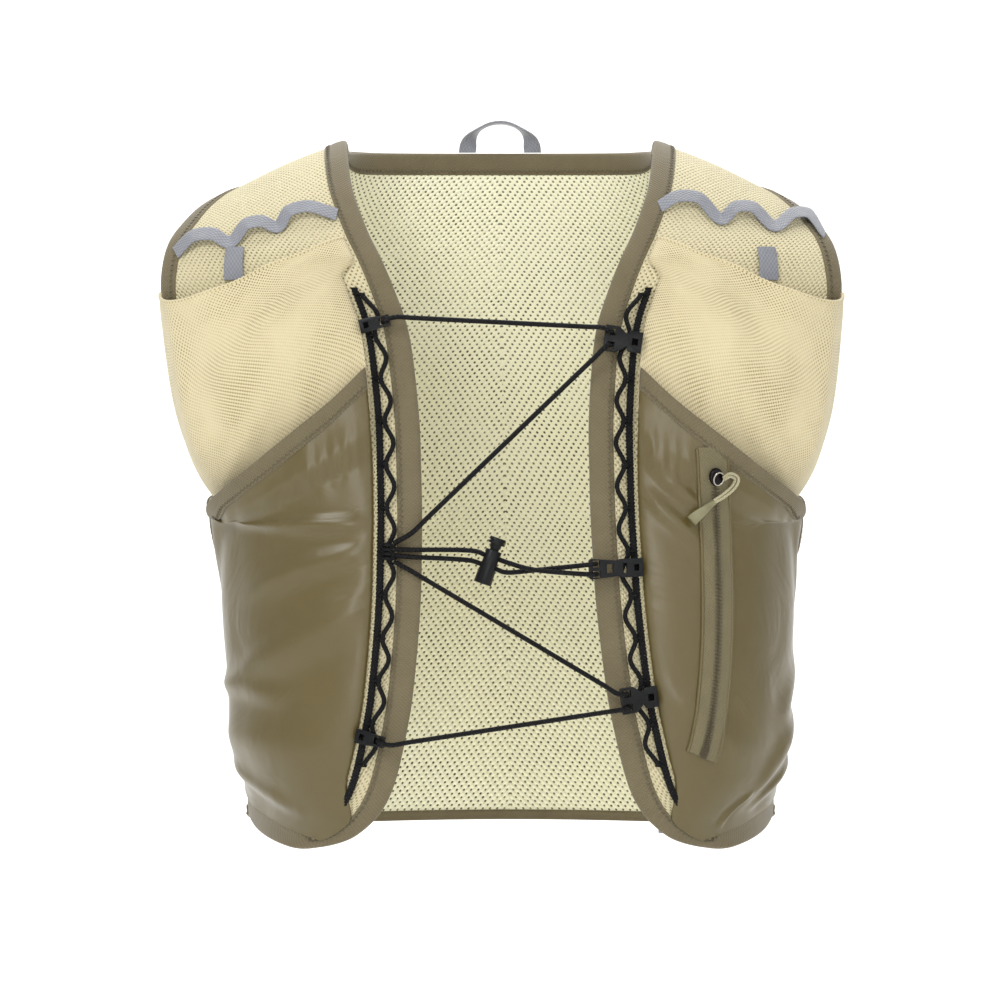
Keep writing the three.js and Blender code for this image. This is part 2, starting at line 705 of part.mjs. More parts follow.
const buckle = {
  height: 6,
  outline: [
    [-bodyHalf, -4.8],
    [bodyHalf + 5.5, -4.8],
    [bodyHalf + 6.5, -4],
    [24.5, -5.4],
    [25.5, -4.4],
    [25.5, 4.4],
    [24.5, 5.4],
    [bodyHalf + 6.5, 4],
    [bodyHalf + 5.5, 4.8],
    [-bodyHalf, 4.8],
  ],
  windows: [
    [0.2, 0, 2.6, 3.4],
    [6.4, 0, 2, 5],
    [14.4, 0, 3.4, 4.6],
    [21.6, 2.7, 3.6, 3.4],
    [21.6, -2.7, 3.6, 3.4],
  ],
};
const topRight = clipAt(clipHeights.topRight, slider);
const bottomRight = clipAt(clipHeights.bottomRight, slider);
const middleRight = clipAt(clipHeights.middleRight, buckle);
const topLeft = clipAt(clipHeights.topLeft, hook);
const bottomLeft = clipAt(clipHeights.bottomLeft, hook);
const hard = (clip, mirrored = false) => ({ mirrored, hardAt: clip.frame.origin.z });
add("lace_slider_top", topRight.geometry, blackAcetal, hard(topRight));
add("lace_slider_bottom", bottomRight.geometry, blackAcetal, hard(bottomRight));
add("lace_buckle", middleRight.geometry, blackAcetal, hard(middleRight));
add("lace_hook_top", topLeft.geometry, blackAcetal, hard(topLeft, true));
add("lace_hook_bottom", bottomLeft.geometry, blackAcetal, hard(bottomLeft, true));

// Lacing: one elastic cord, in its visible runs. It is threaded up through one window of a slider and down
// through the other, and through the wavy cord's node on the picture's left.
const mirror = (p) => p.clone().setX(-p.x);
const under = clipLift - laceDiameter / 2 - sewnGap;
const over = clipLift + clipWall + laceDiameter / 2 + sewnGap;
const middle = clipLift + clipWall / 2;
const threaded = ({ frame }, upper) => {
  const [x, y] = slider.windows[1];
  const sign = upper ? 1 : -1;
  return [
    from(frame, x + 5.4, sign * (y + 1), over),
    from(frame, x + 1.6, sign * (y + 0.2), over),
    from(frame, x, sign * y, middle),
    from(frame, x - 0.4, (sign * y) / 2, under),
    from(frame, x - 0.4, (-sign * y) / 2, under),
    from(frame, x, -sign * y, middle),
    from(frame, x + 1.6, -sign * (y + 0.2), over),
  ];
};
const hooked = ({ frame }) => [
  mirror(from(frame, hook.windows[1][0], 0, under)),
  mirror(from(frame, hook.windows[1][0], 0, middle)),
  mirror(from(frame, hook.windows[1][0] + 1.8, 0, over)),
  mirror(from(frame, hook.outline[3][0] + 4, 0, over)),
];
const nodeHeight = -0.578;
const nodeRow = rowAtHeight(nodeHeight, railFromEdge);
const nodeAt = (fromEdge, rise, out) => {
  const p = mirror(onFront(fromEdge, nodeRow, out));
  return p.setZ(p.z + rise);
};
const bindingTop = meshWall + bindingGap + bindingWall;
const laceOver = bindingTop + laceDiameter / 2 + 2 * sewnGap;
const node = railFromEdge - loopReach + 0.4;
const upperLace = smoothCurve(
  [
    ...hooked(topLeft),
    ...threaded(topRight, true),
    nodeAt(3, 9, laceOver + 0.6),
    nodeAt(node - 1.6, 3.4, laceOver + 0.4),
  ],
  34,
);
const lowerLace = smoothCurve(
  [
    nodeAt(node - 1.6, -6, laceOver + 0.4),
    nodeAt(3, -11, laceOver + 0.6),
    ...threaded(bottomRight, true),
    ...hooked(bottomLeft).reverse(),
  ],
  34,
);
add("lace_upper", cord(upperLace, laceDiameter), blackElastic);
add("lace_lower", cord(lowerLace, laceDiameter), blackElastic);

// Cord lock: a barrel with a cross slot for two runs of lace, and a sprung button whose slotted stem pinches
// them. Its axis leans in the front's plane; w is the height along it from between the two laces.
const lockDrop = 6.2; // its middle below the wavy cord's node
const lockCentre = new THREE.Vector3(-9, 0, nodeHeight * vestHeight - lockDrop);
const lockLean = 0.34; // radians, the button's end towards +X
const lockTravel = 3;
const lacePitch = 5.2;
const lockClearance = 0.4;
const barrel = { foot: -12, top: 6.2, footRadius: 4.7, topRadius: 4.25, bore: 3.35, floor: 2.4 };
const stemRadius = barrel.bore - lockClearance;
const headBase = barrel.top + lockTravel + lockClearance;
const slotWidth = laceDiameter + 2 * lockClearance;
const laceBand = lacePitch / 2 + laceDiameter / 2 + 0.3;
const lockY = frontPoint(0, nodeRow).y - laceOver;
lockCentre.setY(lockY);
const post = (low, high, lowRadius, highRadius = lowRadius) =>
  new THREE.CylinderGeometry(highRadius, lowRadius, high - low, 16)
    .translate(0, (low + high) / 2, 0);
const crossSlot = (low, high) => box(20, high - low, slotWidth, 0, (low + high) / 2, 0);
const lockAxis = new THREE.Vector3(Math.sin(lockLean), 0, Math.cos(lockLean));
const lockAcross = new THREE.Vector3(Math.cos(lockLean), 0, -Math.sin(lockLean));
const lockPlace = new THREE.Matrix4()
  .makeBasis(lockAcross, lockAxis, lockAcross.clone().cross(lockAxis))
  .setPosition(lockCentre);
const barrelShape = cut(
  post(barrel.foot, barrel.top, barrel.footRadius, barrel.topRadius),
  post(barrel.foot + barrel.floor, barrel.top + 1, barrel.bore),
  crossSlot(-laceBand, laceBand),
);
const stemFoot = -laceBand - 1.8;
const buttonShape = cut(
  join(
    post(stemFoot, headBase + 0.5, stemRadius),
    post(headBase, headBase + 1.2, 4.5),
    post(headBase + 0.6, headBase + 2.2, 3.8),
    post(headBase + 1.8, headBase + 3.4, 4.6, 4.2),
  ),
  crossSlot(-laceBand - 0.1, laceBand + lockTravel + 0.2),
);
const lockHard = { hardAt: lockCentre.z };
add("cord_lock_barrel", barrelShape.applyMatrix4(lockPlace), blackAcetal, lockHard);
add("cord_lock_button", buttonShape.applyMatrix4(lockPlace), blackAcetal, lockHard);

// The two middle runs: from the wavy cord's node, through the lock, crossing once, into the buckle.
const atLock = (along, w) =>
  lockCentre.clone().addScaledVector(lockAcross, along).addScaledVector(lockAxis, w);
const crossing = atLock(21, 4).add(new THREE.Vector3(0, 0, -1));
const intoBuckle = (sign) => {
  const [x, y] = buckle.windows[3];
  const { frame } = middleRight;
  return [
    from(frame, x + 4.5, sign * (y - 0.2), over),
    from(frame, x + 1.6, sign * y, over),
    from(frame, x, sign * y, middle),
    from(frame, x - 0.6, sign * y, under),
  ];
};
const middleRun = (rise, w, side, buckleSign) =>
  smoothCurve(
    [
      nodeAt(node - 1.6, rise, laceOver + 0.4),
      nodeAt(3, rise * 1.2, laceOver + 0.5),
      atLock(-9, w * 1.02),
      atLock(-4, w),
      atLock(4, w),
      atLock(9, w),
      crossing.clone().add(new THREE.Vector3(0, side * 1.6, w * 0.15)),
      ...intoBuckle(buckleSign),
    ],
    26,
  );
const half = lacePitch / 2;
add("lace_middle_front", cord(middleRun(0.3, half, -1, -1), laceDiameter), blackElastic);
add("lace_middle_back", cord(middleRun(-2.8, -half, 1, 1), laceDiameter), blackElastic);

// Grey tape that lies in waves over the shoulder, and a folded tab in the bottle pocket's mouth.
const greyTape = { width: 6.4, wall: 1.1, z: [-42, -59], waves: 2.5, swing: 3 };
const tapeStops = 16;
const shoulderRow = (s, z) =>
  solve((t) => frontPoint(s, t).z, topRows[1] - 1.5, frontRows - 1, z);
const greyRings = range(tapeStops + 1).map((k) => {
  const share = k / tapeStops;
  const s = lerp(0.17, 0.86, share);
  const z = lerp(...greyTape.z, share) + greyTape.swing * Math.sin(2 * Math.PI * greyTape.waves * share);
  const lift = meshWall + 0.8 + 1.2 * Math.sin(Math.PI * greyTape.waves * share) ** 2;
  const place = (rise, c) => frontOff(s, shoulderRow(s, z + rise), lift + c);
  const w = greyTape.width / 2;
  return [place(-w, 0), place(w, 0), place(w, greyTape.wall), place(-w, greyTape.wall)];
});
addPair("grey_tape", bar(greyRings), greyWebbing);
const tab = { s: [0.5, 0.585], z: [-80, -67], wall: 1.6 };
const tabRings = range(4).map((k) => {
  const z = lerp(...tab.z, k / 3);
  const place = (s, c) => frontOff(s, shoulderRow(s, z), meshWall + 0.8 + c);
  return [place(tab.s[0], 0), place(tab.s[1], 0), place(tab.s[1], tab.wall), place(tab.s[0], tab.wall)];
});
addPair("grey_tab", bar(tabRings), greyWebbing);

// Haul loop on the back neck: webbing that stands flat at its feet and edge-on at its top.
const haul = { reach: 19, rise: 17.5, width: 10, wall: 1.8, foot: 7.6 };
const haulY = neckBack.y * halfDepth + seamGap + backWall / 2;
const haulStops = 14;
const haulRings = range(haulStops + 1).map((k) => {
  const angle = Math.PI * (k / haulStops);
  const centre = new THREE.Vector3(
    haul.reach * Math.cos(angle),
    haulY,
    haul.foot + haul.rise * Math.sin(angle),
  );
  const tangent = new THREE.Vector3(-haul.reach * Math.sin(angle), 0, haul.rise * Math.cos(angle));
  tangent.normalize();
  const inPlane = tangent.clone().cross(new THREE.Vector3(0, 1, 0));
  const twist = (Math.PI / 2) * smooth(1.15 * Math.sin(angle));
  const wide = inPlane.clone().multiplyScalar(Math.cos(twist)).add(new THREE.Vector3(0, Math.sin(twist), 0));
  const thin = tangent.clone().cross(wide);
  const place = (a, b) =>
    centre.clone().addScaledVector(wide, (a * haul.width) / 2).addScaledVector(thin, (b * haul.wall) / 2);
  return [place(-1, -1), place(1, -1), place(1, 1), place(-1, 1)];
});
add("haul_loop", bar(haulRings), greyWebbing);

// Zip on the picture's right pocket, from under the pocket binding down to the pocket's foot.
const zipLine = [
  // x, z as shares of halfWidth and vestHeight
  [0.6, -0.46],
  [0.604, -0.52],
  [0.606, -0.58],
  [0.606, -0.65],
  [0.6, -0.72],
  [0.585, -0.79],
  [0.563, -0.845],
  [0.55, -0.862],
];
const zip = { tapeWidth: 15, tapeWall: 0.8, coilWidth: 4, coilWall: 1.3, stops: 12 };
function onPocket(x, z, out) {
  // The place on the pocket's own faces, by its grid's indices.
  let [i, j] = [3, 4];
  for (const _ of range(6)) {
    j = solve((k) => lowerGrid(i, k, pocketWall).z, 0, lowerRows.length - 1, z);
    i = solve((k) => lowerGrid(k, j, pocketWall).x, 0, bottleColumns.length - 1, x);
  }
  return lowerGrid(i, j, pocketWall + out);
}
function zipAt(share, a, out) {
  const at = (k) => rowAt(zipLine, clamp01(k) * (zipLine.length - 1));
  const [x, z] = at(share);
  const [[x0, z0], [x1, z1]] = [at(share - 0.02), at(share + 0.02)];
  const along = new THREE.Vector2((x1 - x0) * halfWidth, (z1 - z0) * vestHeight).normalize();
  return onPocket(x * halfWidth - along.y * a, z * vestHeight + along.x * a, out);
}
function zipBar(width, low, high, skip) {
  return bar(
    range(zip.stops + 1 - 2 * skip).map((k) => {
      const share = lerp(0.03, 0.99, (k + skip) / zip.stops);
      const place = (a, out) => zipAt(share, (a * width) / 2, out);
      return [place(-1, low), place(0, low), place(1, low), place(1, high), place(0, high), place(-1, high)];
    }),
  );
}
const tapeSeat = sewnGap + 0.5;
const coilSeat = tapeSeat + zip.tapeWall + sewnGap;
add("zip_tape", zipBar(zip.tapeWidth, tapeSeat, tapeSeat + zip.tapeWall, 0), zipTapeCloth);
add("zip_coil", zipBar(zip.coilWidth, coilSeat, coilSeat + zip.coilWall, 1), darkMetal);
const sliderCentre = zipAt(0.055, 0, coilSeat + 1.3);
const outOfPocket = zipAt(0.055, 0, coilSeat + 2.3).sub(sliderCentre).normalize();
const downPocket = zipAt(0.1, 0, coilSeat + 1.3).sub(sliderCentre).normalize();
const rightOfPocket = outOfPocket.clone().cross(downPocket).normalize();
const sliderPlace = new THREE.Matrix4()
  .makeBasis(rightOfPocket, outOfPocket.clone().cross(rightOfPocket), outOfPocket)
  .setPosition(sliderCentre);
const zipSlider = new THREE.CylinderGeometry(4.2, 4.6, 2.4, 14).rotateX(Math.PI / 2).scale(0.9, 1.1, 1);
add("zip_slider", join(zipSlider).applyMatrix4(sliderPlace), darkMetal, { hardAt: sliderCentre.z });

// The slider's pull: a doubled cord that hangs to one side, and its moulded end.
const pullSeat = coilSeat + 4.2;
const pullPath = [
  // x and z from the slider's middle, height off the pocket
  [1, 0.6, 4.4],
  [5, 2.4, 3.4],
  [8.6, 0.4, 2.6],
  [7, -3.4, 2.6],
  [1, -8.4, 3.6],
  [-3.4, -11.4, 3.2],
].map(([x, z, out]) => onPocket(sliderCentre.x + x, sliderCentre.z + z, out + coilSeat));
add("zip_pull_cord", cord(smoothCurve(pullPath, 12), 2.2, 4), pullCord);
const endPath = [
  // x and z from the slider's middle, height off the pocket, width
  [-4.2, -12.4, 2.2, 2.6],
  [-8, -15.6, 1.8, 3.4],
  [-12, -19, 1.6, 4.6],
  [-15.2, -21.8, 1.6, 5.2],
];
const endRings = endPath.map(([x, z, out, width]) => {
  const place = (a, c) =>
    onPocket(sliderCentre.x + x - 0.66 * a, sliderCentre.z + z + 0.75 * a, coilSeat + out + c);
  return [place(-width / 2, 0), place(width / 2, 0), place(width / 2, 2), place(-width / 2, 2)];
});
add("zip_pull_end", bar(endRings), pullCord);

// A small tab on the back hem.
const hemTab = { x: 88, width: 5, wall: 1.6, drop: 5.5 };
const hemTabY = solve((s) => backSection(s, 0).x, 0, 1, hemTab.x);
const hemAt = backSection(hemTabY, 0);
add(
  "hem_tab",
  join(
    box(
      hemTab.width,
      hemTab.wall,
      hemTab.drop,
      hemTab.x,
      hemAt.y + 1,
      hemAt.z - lipGap - bindingWall - sewnGap - hemTab.drop / 2,
    ),
  ),
  greyWebbing,
);

export default vest;
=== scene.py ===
import math

import bmesh
import bpy
import numpy as np
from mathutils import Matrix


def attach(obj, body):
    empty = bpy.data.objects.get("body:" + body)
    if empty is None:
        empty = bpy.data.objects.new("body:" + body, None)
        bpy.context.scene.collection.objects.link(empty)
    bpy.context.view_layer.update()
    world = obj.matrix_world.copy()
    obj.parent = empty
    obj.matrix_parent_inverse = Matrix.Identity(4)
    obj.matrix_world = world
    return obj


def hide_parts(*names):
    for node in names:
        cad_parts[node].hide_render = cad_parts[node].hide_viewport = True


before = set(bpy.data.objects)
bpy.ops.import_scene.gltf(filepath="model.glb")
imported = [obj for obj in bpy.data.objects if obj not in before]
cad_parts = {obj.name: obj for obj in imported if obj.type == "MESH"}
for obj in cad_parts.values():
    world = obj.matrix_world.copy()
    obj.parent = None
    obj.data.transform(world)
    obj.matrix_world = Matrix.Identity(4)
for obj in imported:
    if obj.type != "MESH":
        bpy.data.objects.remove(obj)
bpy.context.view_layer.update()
print("frame loaded:", len(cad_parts), "solids")

# Sizes of the vest in millimetres, the same ones that the solids were made from
vest = {
    "height": 382.0,
    "halfWidth": 180.0,
    "halfDepth": 100.0,
    "hangSway": 6.0,
    "meshWall": 2.4,
    "shellWall": 0.9,
    "sewnGap": 0.4,
    "seamGap": 0.6,
}
frontSections = np.array([
    # xIn, yIn, zIn, xOut, yOut, zOut, full
    [0.575, -0.76, -0.997, 0.79, 0.08, -0.965, 0.6],
    [0.442, -0.89, -0.963, 0.79, 0.08, -0.92, 0.85],
    [0.358, -0.96, -0.911, 0.79, 0.08, -0.868, 1],
    [0.306, -1.0, -0.817, 0.795, 0.08, -0.8, 1],
    [0.283, -1.01, -0.746, 0.805, 0.08, -0.72, 1],
    [0.264, -1.02, -0.655, 0.817, 0.08, -0.615, 1],
    [0.256, -1.02, -0.576, 0.833, 0.08, -0.497, 1],
    [0.253, -1.01, -0.524, 0.856, -0.12, -0.48, 0.95],
    [0.253, -1.0, -0.471, 0.883, -0.29, -0.432, 0.9],
    [0.256, -0.98, -0.393, 0.933, -0.42, -0.366, 0.85],
    [0.278, -0.96, -0.288, 0.975, -0.56, -0.272, 0.75],
    [0.317, -0.92, -0.228, 0.992, -0.6, -0.22, 0.65],
    [0.356, -0.87, -0.183, 0.989, -0.56, -0.183, 0.6],
    [0.389, -0.8, -0.152, 0.975, -0.49, -0.152, 0.5],
    [0.422, -0.69, -0.113, 0.944, -0.37, -0.126, 0.4],
    [0.45, -0.54, -0.073, 0.906, -0.23, -0.101, 0.35],
    [0.467, -0.32, -0.029, 0.861, -0.08, -0.082, 0.3],
    [0.475, -0.06, -0.001, 0.822, 0.04, -0.073, 0.25],
    [0.478, 0.14, -0.003, 0.806, 0.14, -0.073, 0.25],
])
backSections = np.array([
    # yMid, zMid, xSide, ySide, zSide
    [0.92, -0.995, 0.79, 0.08, -0.965],
    [0.93, -0.955, 0.79, 0.08, -0.92],
    [0.945, -0.89, 0.79, 0.08, -0.868],
    [0.96, -0.8, 0.795, 0.08, -0.8],
    [0.965, -0.71, 0.805, 0.08, -0.72],
    [0.97, -0.61, 0.817, 0.08, -0.615],
    [0.965, -0.51, 0.833, 0.08, -0.497],
    [0.955, -0.435, 0.867, 0.26, -0.478],
    [0.945, -0.36, 0.9, 0.42, -0.425],
    [0.935, -0.285, 0.928, 0.53, -0.345],
    [0.925, -0.215, 0.944, 0.57, -0.262],
])
bothSides = ((-1, "left"), (1, "right"))  # the picture's sides
frontRows = len(frontSections) - 1
lastBack = len(backSections) - 1
backRows = lastBack + 1
neckBack = {"y": 0.9, "z": 0.013}
neckShare = 0.5
shellLow = vest["meshWall"] + vest["sewnGap"]
backWall = shellLow + vest["shellWall"]


def lerp(a, b, f):
    return a + (b - a) * f


def smooth(f):
    f = np.clip(f, 0, 1)
    return f * f * (3 - 2 * f)


def unit(v):
    return v / np.maximum(np.linalg.norm(v, axis=-1, keepdims=True), 1e-9)


def rowAt(table, t):
    # Catmull-Rom curve through the table's rows, read at the fractional row t
    last = len(table) - 1
    i = np.clip(np.floor(t).astype(int), 0, last - 1)
    f = (t - i)[..., None]
    a, b, d, e = (table[np.clip(i + k, 0, last)] for k in (-1, 0, 1, 2))
    return b + 0.5 * f * (d - a + f * (2 * a - 5 * b + 4 * d - e + f * (3 * (b - d) + e - a)))


def frontPoint(s, t):
    # Each row runs from the free edge to the armhole edge on a blend of a straight line and a quarter ellipse
    s, t = np.broadcast_arrays(np.asarray(s, float), np.asarray(t, float))
    xIn, yIn, zIn, xOut, yOut, zOut, full = np.moveaxis(rowAt(frontSections, t), -1, 0)
    across = lerp(s, np.sin(s * np.pi / 2), full)
    inward = lerp(s, 1 - np.cos(s * np.pi / 2), full)
    x = lerp(xIn, xOut, across) * vest["halfWidth"]
    y = lerp(yIn, yOut, inward) * vest["halfDepth"]
    return np.stack([x, y, lerp(zIn, zOut, inward) * vest["height"]], -1)


def backSection(s, t):
    # A quarter ellipse from the middle of the back to the side seam, its height falling with s to the fourth
    yMid, zMid, xSide, ySide, zSide = np.moveaxis(rowAt(backSections, t), -1, 0)
    x = xSide * np.sin(s * np.pi / 2) * vest["halfWidth"]
    y = lerp(yMid, ySide, 1 - np.cos(s * np.pi / 2)) * vest["halfDepth"] + vest["seamGap"]
    return np.stack([x, y, lerp(zMid, zSide, np.abs(s) ** 4) * vest["height"]], -1)


def backTop(s):
    # The neck edge is a quarter of a squarish ellipse, and past it the edge follows the shoulder seam
    inner = frontPoint(0.0, float(frontRows))
    angle = np.clip(s / neckShare, 0, 1) * np.pi / 2
    neckX = inner[0] * np.sin(angle) ** 0.8
    rearward = np.clip(np.cos(angle), 0, 1) ** 0.8
    neckY = lerp(inner[1] + vest["seamGap"], neckBack["y"] * vest["halfDepth"], rearward)
    neckZ = lerp(neckBack["z"] * vest["height"], inner[2], 1 - np.cos(angle))
    along = frontPoint(np.clip((s - neckShare) / (1 - neckShare), 0, 1.2), float(frontRows))
    along = along + np.array([0, vest["seamGap"], 0])
    return np.where((s >= neckShare)[..., None], along, np.stack([neckX, neckY, neckZ], -1))


def backPoint(s, t):
    # Sections up to the shoulder blades, then a Hermite curve that rounds over to the neck and shoulder seam
    s, t = np.broadcast_arrays(np.asarray(s, float), np.asarray(t, float))
    low = backSection(s, np.minimum(t, lastBack))
    v = np.maximum(t - lastBack, 0)[..., None]
    top = backTop(s)
    reach = np.linalg.norm(backSection(s, np.full_like(s, lastBack)) - top, axis=-1, keepdims=True)
    over = smooth((s - neckShare * 0.5) / (neckShare * 0.6))
    rise = np.array([0, -0.05, 1]) * reach
    arrive = np.stack([np.zeros_like(s), lerp(-0.1, -1, over), lerp(1, 0.25, over)], -1) * reach
    curve = low * (2 * v**3 - 3 * v**2 + 1) + rise * (v**3 - 2 * v**2 + v)
    return curve + top * (3 * v**2 - 2 * v**3) + arrive * (v**3 - v**2)


def offSurface(point, s, t, out, rows, outward):
    # The surface's point moved along its normal, which comes from small steps of both parameters
    s, t = np.broadcast_arrays(np.asarray(s, float), np.asarray(t, float))
    sIn, tIn, step = np.clip(s, 0, 1), np.clip(t, 0, rows), 0.02
    across = point(np.minimum(1, sIn + step), tIn) - point(np.maximum(0, sIn - step), tIn)
    up = point(sIn, np.minimum(rows, tIn + step)) - point(sIn, np.maximum(0, tIn - step))
    return point(s, t) + unit(np.cross(across, up)) * outward * np.asarray(out, float)[..., None]


def frontOff(s, t, out):
    return offSurface(frontPoint, s, t, out, frontRows, 1)


def backOff(u, t, out):
    p = offSurface(backPoint, np.abs(u), t, out, backRows, -1)
    same = 1 + 0 * p[..., 0]
    return p * np.stack([np.where(np.asarray(u) < 0, -1.0, 1.0) * same, same, same], -1)


def solve(value, low, high, target):
    # Halves whole arrays of brackets until value meets target
    low, high, _ = np.broadcast_arrays(*(np.asarray(v, float) for v in (low, high, target)))
    rising = value(high) > value(low)
    for _ in range(30):
        middle = (low + high) / 2
        short = (value(middle) < target) == rising
        low, high = np.where(short, middle, low), np.where(short, high, middle)
    return (low + high) / 2


def shareAcross(t, fromEdge):
    return 0.1 * fromEdge / np.linalg.norm(frontPoint(0.1, t) - frontPoint(0.0, t), axis=-1)


def onFront(fromEdge, t, out):
    return frontOff(shareAcross(t, fromEdge), t, out)


def rowAtHeight(height, fromEdge):
    z = lambda t: frontPoint(shareAcross(t, fromEdge), t)[..., 2]
    return solve(z, 0, frontRows - 2, height * vest["height"])


def outerRow(height):
    return solve(lambda t: frontPoint(1.0, t)[..., 2], 0, frontRows - 2, height * vest["height"])


def sway(z):
    return vest["hangSway"] * smooth(-z / vest["height"])


# Meshes. Every shape is a row of rings: a ring's point i faces its point n-1-i across the piece.
def skinFaces(stations, n, closed):
    k = np.arange(stations if closed else stations - 1)[:, None]
    i = np.arange(n)[None, :]
    a, b = k * n, ((k + 1) % stations) * n
    sides = np.stack([a + i, a + (i + 1) % n, b + (i + 1) % n, b + i], -1).reshape(-1, 4)
    if closed:
        return sides, np.zeros((0, 4), int)
    c = np.arange(n // 2 - 1)
    first = np.stack([c, n - 1 - c, n - 2 - c, c + 1], -1)
    last = np.stack([c, c + 1, n - 2 - c, n - 1 - c], -1) + (stations - 1) * n
    return sides, np.concatenate([first, last])


def arcs(rings, axis):
    # Running length along one axis of a grid, the mean over the other where it is the rows' axis
    steps = np.linalg.norm(np.diff(rings, axis=axis), axis=-1)
    if axis == 0:
        steps = np.repeat(steps.mean(axis=1, keepdims=True), rings.shape[1], axis=1)
    start = np.zeros_like(np.take(steps, [0], axis=axis))
    return np.concatenate([start, np.cumsum(steps, axis=axis)], axis=axis)


def addObject(name, data):
    thing = bpy.data.objects.new(name, data)
    bpy.context.scene.collection.objects.link(thing)
    return thing


def finishPiece(name, mesh, material, nodes, sharp, body):
    mesh.polygons.foreach_set("use_smooth", np.ones(len(mesh.polygons), bool))
    mesh.set_sharp_from_angle(angle=math.radians(sharp))
    mesh.materials.append(material)
    piece = addObject(name, mesh)
    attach(piece, body)
    if nodes:
        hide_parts(*nodes)
    return piece


def newPiece(name, points, faces, uv, material, nodes, sharp=50, body="vest"):
    mesh = bpy.data.meshes.new(name)
    mesh.vertices.add(len(points))
    mesh.vertices.foreach_set("co", np.ascontiguousarray(points, dtype=np.float32).ravel())
    mesh.loops.add(faces.size)
    mesh.loops.foreach_set("vertex_index", faces.astype(np.int32).ravel())
    mesh.polygons.add(len(faces))
    mesh.polygons.foreach_set("loop_start", np.arange(0, faces.size, 4, dtype=np.int32))
    mesh.update(calc_edges=True)
    layer = mesh.uv_layers.new(name="cloth")
    layer.data.foreach_set("uv", uv.astype(np.float32).ravel())
    return finishPiece(name, mesh, material, nodes, sharp, body)


def place(points, side, hardAt=None):
    # Mirrored for the picture's left, hung by the sway of its height, in metres
    p = points * np.array([side, 1, 1])
    hung = sway(p[..., 2] if hardAt is None else np.full(p.shape[:-1], hardAt))
    return (p + np.stack([hung, 0 * hung, 0 * hung], -1)) / 1000


def skin(name, rings, material, slot, nodes=(), side=1, closed=False, across=None, hardAt=None, sharp=50):
    # The rings joined in a row, with uv in metres: across the piece, and along it
    stations, n = rings.shape[:2]
    sides, caps = skinFaces(stations, n, closed)
    around = np.concatenate([rings, rings[:, :1]], axis=1)
    wide = arcs(around, 1) if across is None else np.concatenate([across, across[:, :1]], axis=1)
    loop = np.concatenate([rings, rings[:1]]) if closed else rings
    long = arcs(loop, 0)[:, :1] + 0 * np.concatenate([wide, wide[:1]] if closed else [wide])
    grid = np.stack([np.concatenate([wide, wide[:1]]) if closed else wide, long], -1) / 1000
    m = len(grid) - 1
    uvSides = np.stack([grid[:m, :n], grid[:m, 1:], grid[1:, 1:], grid[1:, :n]], 2).reshape(-1, 4, 2)
    flat = grid[:stations, :n].reshape(-1, 2)
    faces, uv = np.concatenate([sides, caps]), np.concatenate([uvSides, flat[caps]])
    points = place(rings.reshape(-1, 3), side, hardAt)
    a, b, c, d = (points[faces[:, k]] for k in range(4))
    volume = np.einsum("ij,ij->i", a, np.cross(b, c)).sum() + np.einsum("ij,ij->i", a, np.cross(c, d)).sum()
    if volume < 0:
        faces, uv = faces[:, ::-1], uv[:, ::-1]
    return newPiece(name, points, faces, uv, material, list(nodes), sharp)


def wallRings(outer, inner):
    # A cloth wall: each row is a ring that goes out along one face and back along the other
    return np.concatenate([outer, inner[:, ::-1]], axis=1)


def oval(n, power):
    # A rounded flat section from -1 to 1: sines and cosines raised to a power under one
    angle = 2 * np.pi * (np.arange(n) + 0.5) / n
    c, s = np.cos(angle), np.sin(angle)
    return -np.sign(c) * np.abs(c) ** power, np.sign(s) * np.abs(s) ** power


def cordRings(path, radius, sides=10):
    # Round sections carried along the path without twist
    tangent = unit(np.gradient(path, axis=0))
    normal = np.zeros_like(path)
    side = np.array([0.0, 1.0, 0.0])
    for k, direction in enumerate(tangent):
        side = side - direction * side.dot(direction)
        side = side / np.linalg.norm(side)
        normal[k] = side
    other = np.cross(tangent, normal)
    angle = 2 * np.pi * (np.arange(sides) + 0.5) / sides
    radius = np.broadcast_to(np.asarray(radius, float), (len(path),))[:, None, None]
    spokes = normal[:, None] * np.cos(angle)[:, None] + other[:, None] * np.sin(angle)[:, None]
    return path[:, None] + radius * spokes


def circle(count):
    return np.linspace(0, 2 * np.pi, count, endpoint=False)


def resample(path, spacing):
    along = np.concatenate([[0], np.cumsum(np.linalg.norm(np.diff(path, axis=0), axis=1))])
    count = max(2, int(round(along[-1] / spacing)) + 1)
    at = np.linspace(0, along[-1], count)
    return np.stack([np.interp(at, along, path[:, k]) for k in range(3)], -1)


def smoothCurve(points, each=12):
    # Centripetal Catmull-Rom curve through the points, with `each` steps from one to the next
    points = np.asarray(points, float)
    padded = np.concatenate([[2 * points[0] - points[1]], points, [2 * points[-1] - points[-2]]])
    parts = []
    for k in range(len(points) - 1):
        a, b, c, d = padded[k : k + 4]
        steps = [max(np.linalg.norm(q - p), 1e-6) ** 0.5 for p, q in ((a, b), (b, c), (c, d))]
        knots = np.cumsum([0] + steps)
        t = np.linspace(knots[1], knots[2], each, endpoint=False)[:, None]
        mix = lambda p, q, i, j: (p * (knots[j] - t) + q * (t - knots[i])) / (knots[j] - knots[i])
        ab, bc, cd = mix(a, b, 0, 1), mix(b, c, 1, 2), mix(c, d, 2, 3)
        parts.append(mix(mix(ab, bc, 0, 2), mix(bc, cd, 1, 3), 1, 2))
    return np.concatenate(parts + [points[-1:]])


# Materials
def linear(code, alpha=1.0):
    channels = [int(code[k : k + 2], 16) / 255 for k in (1, 3, 5)]
    return [c / 12.92 if c <= 0.04045 else ((c + 0.055) / 1.055) ** 2.4 for c in channels] + [alpha]


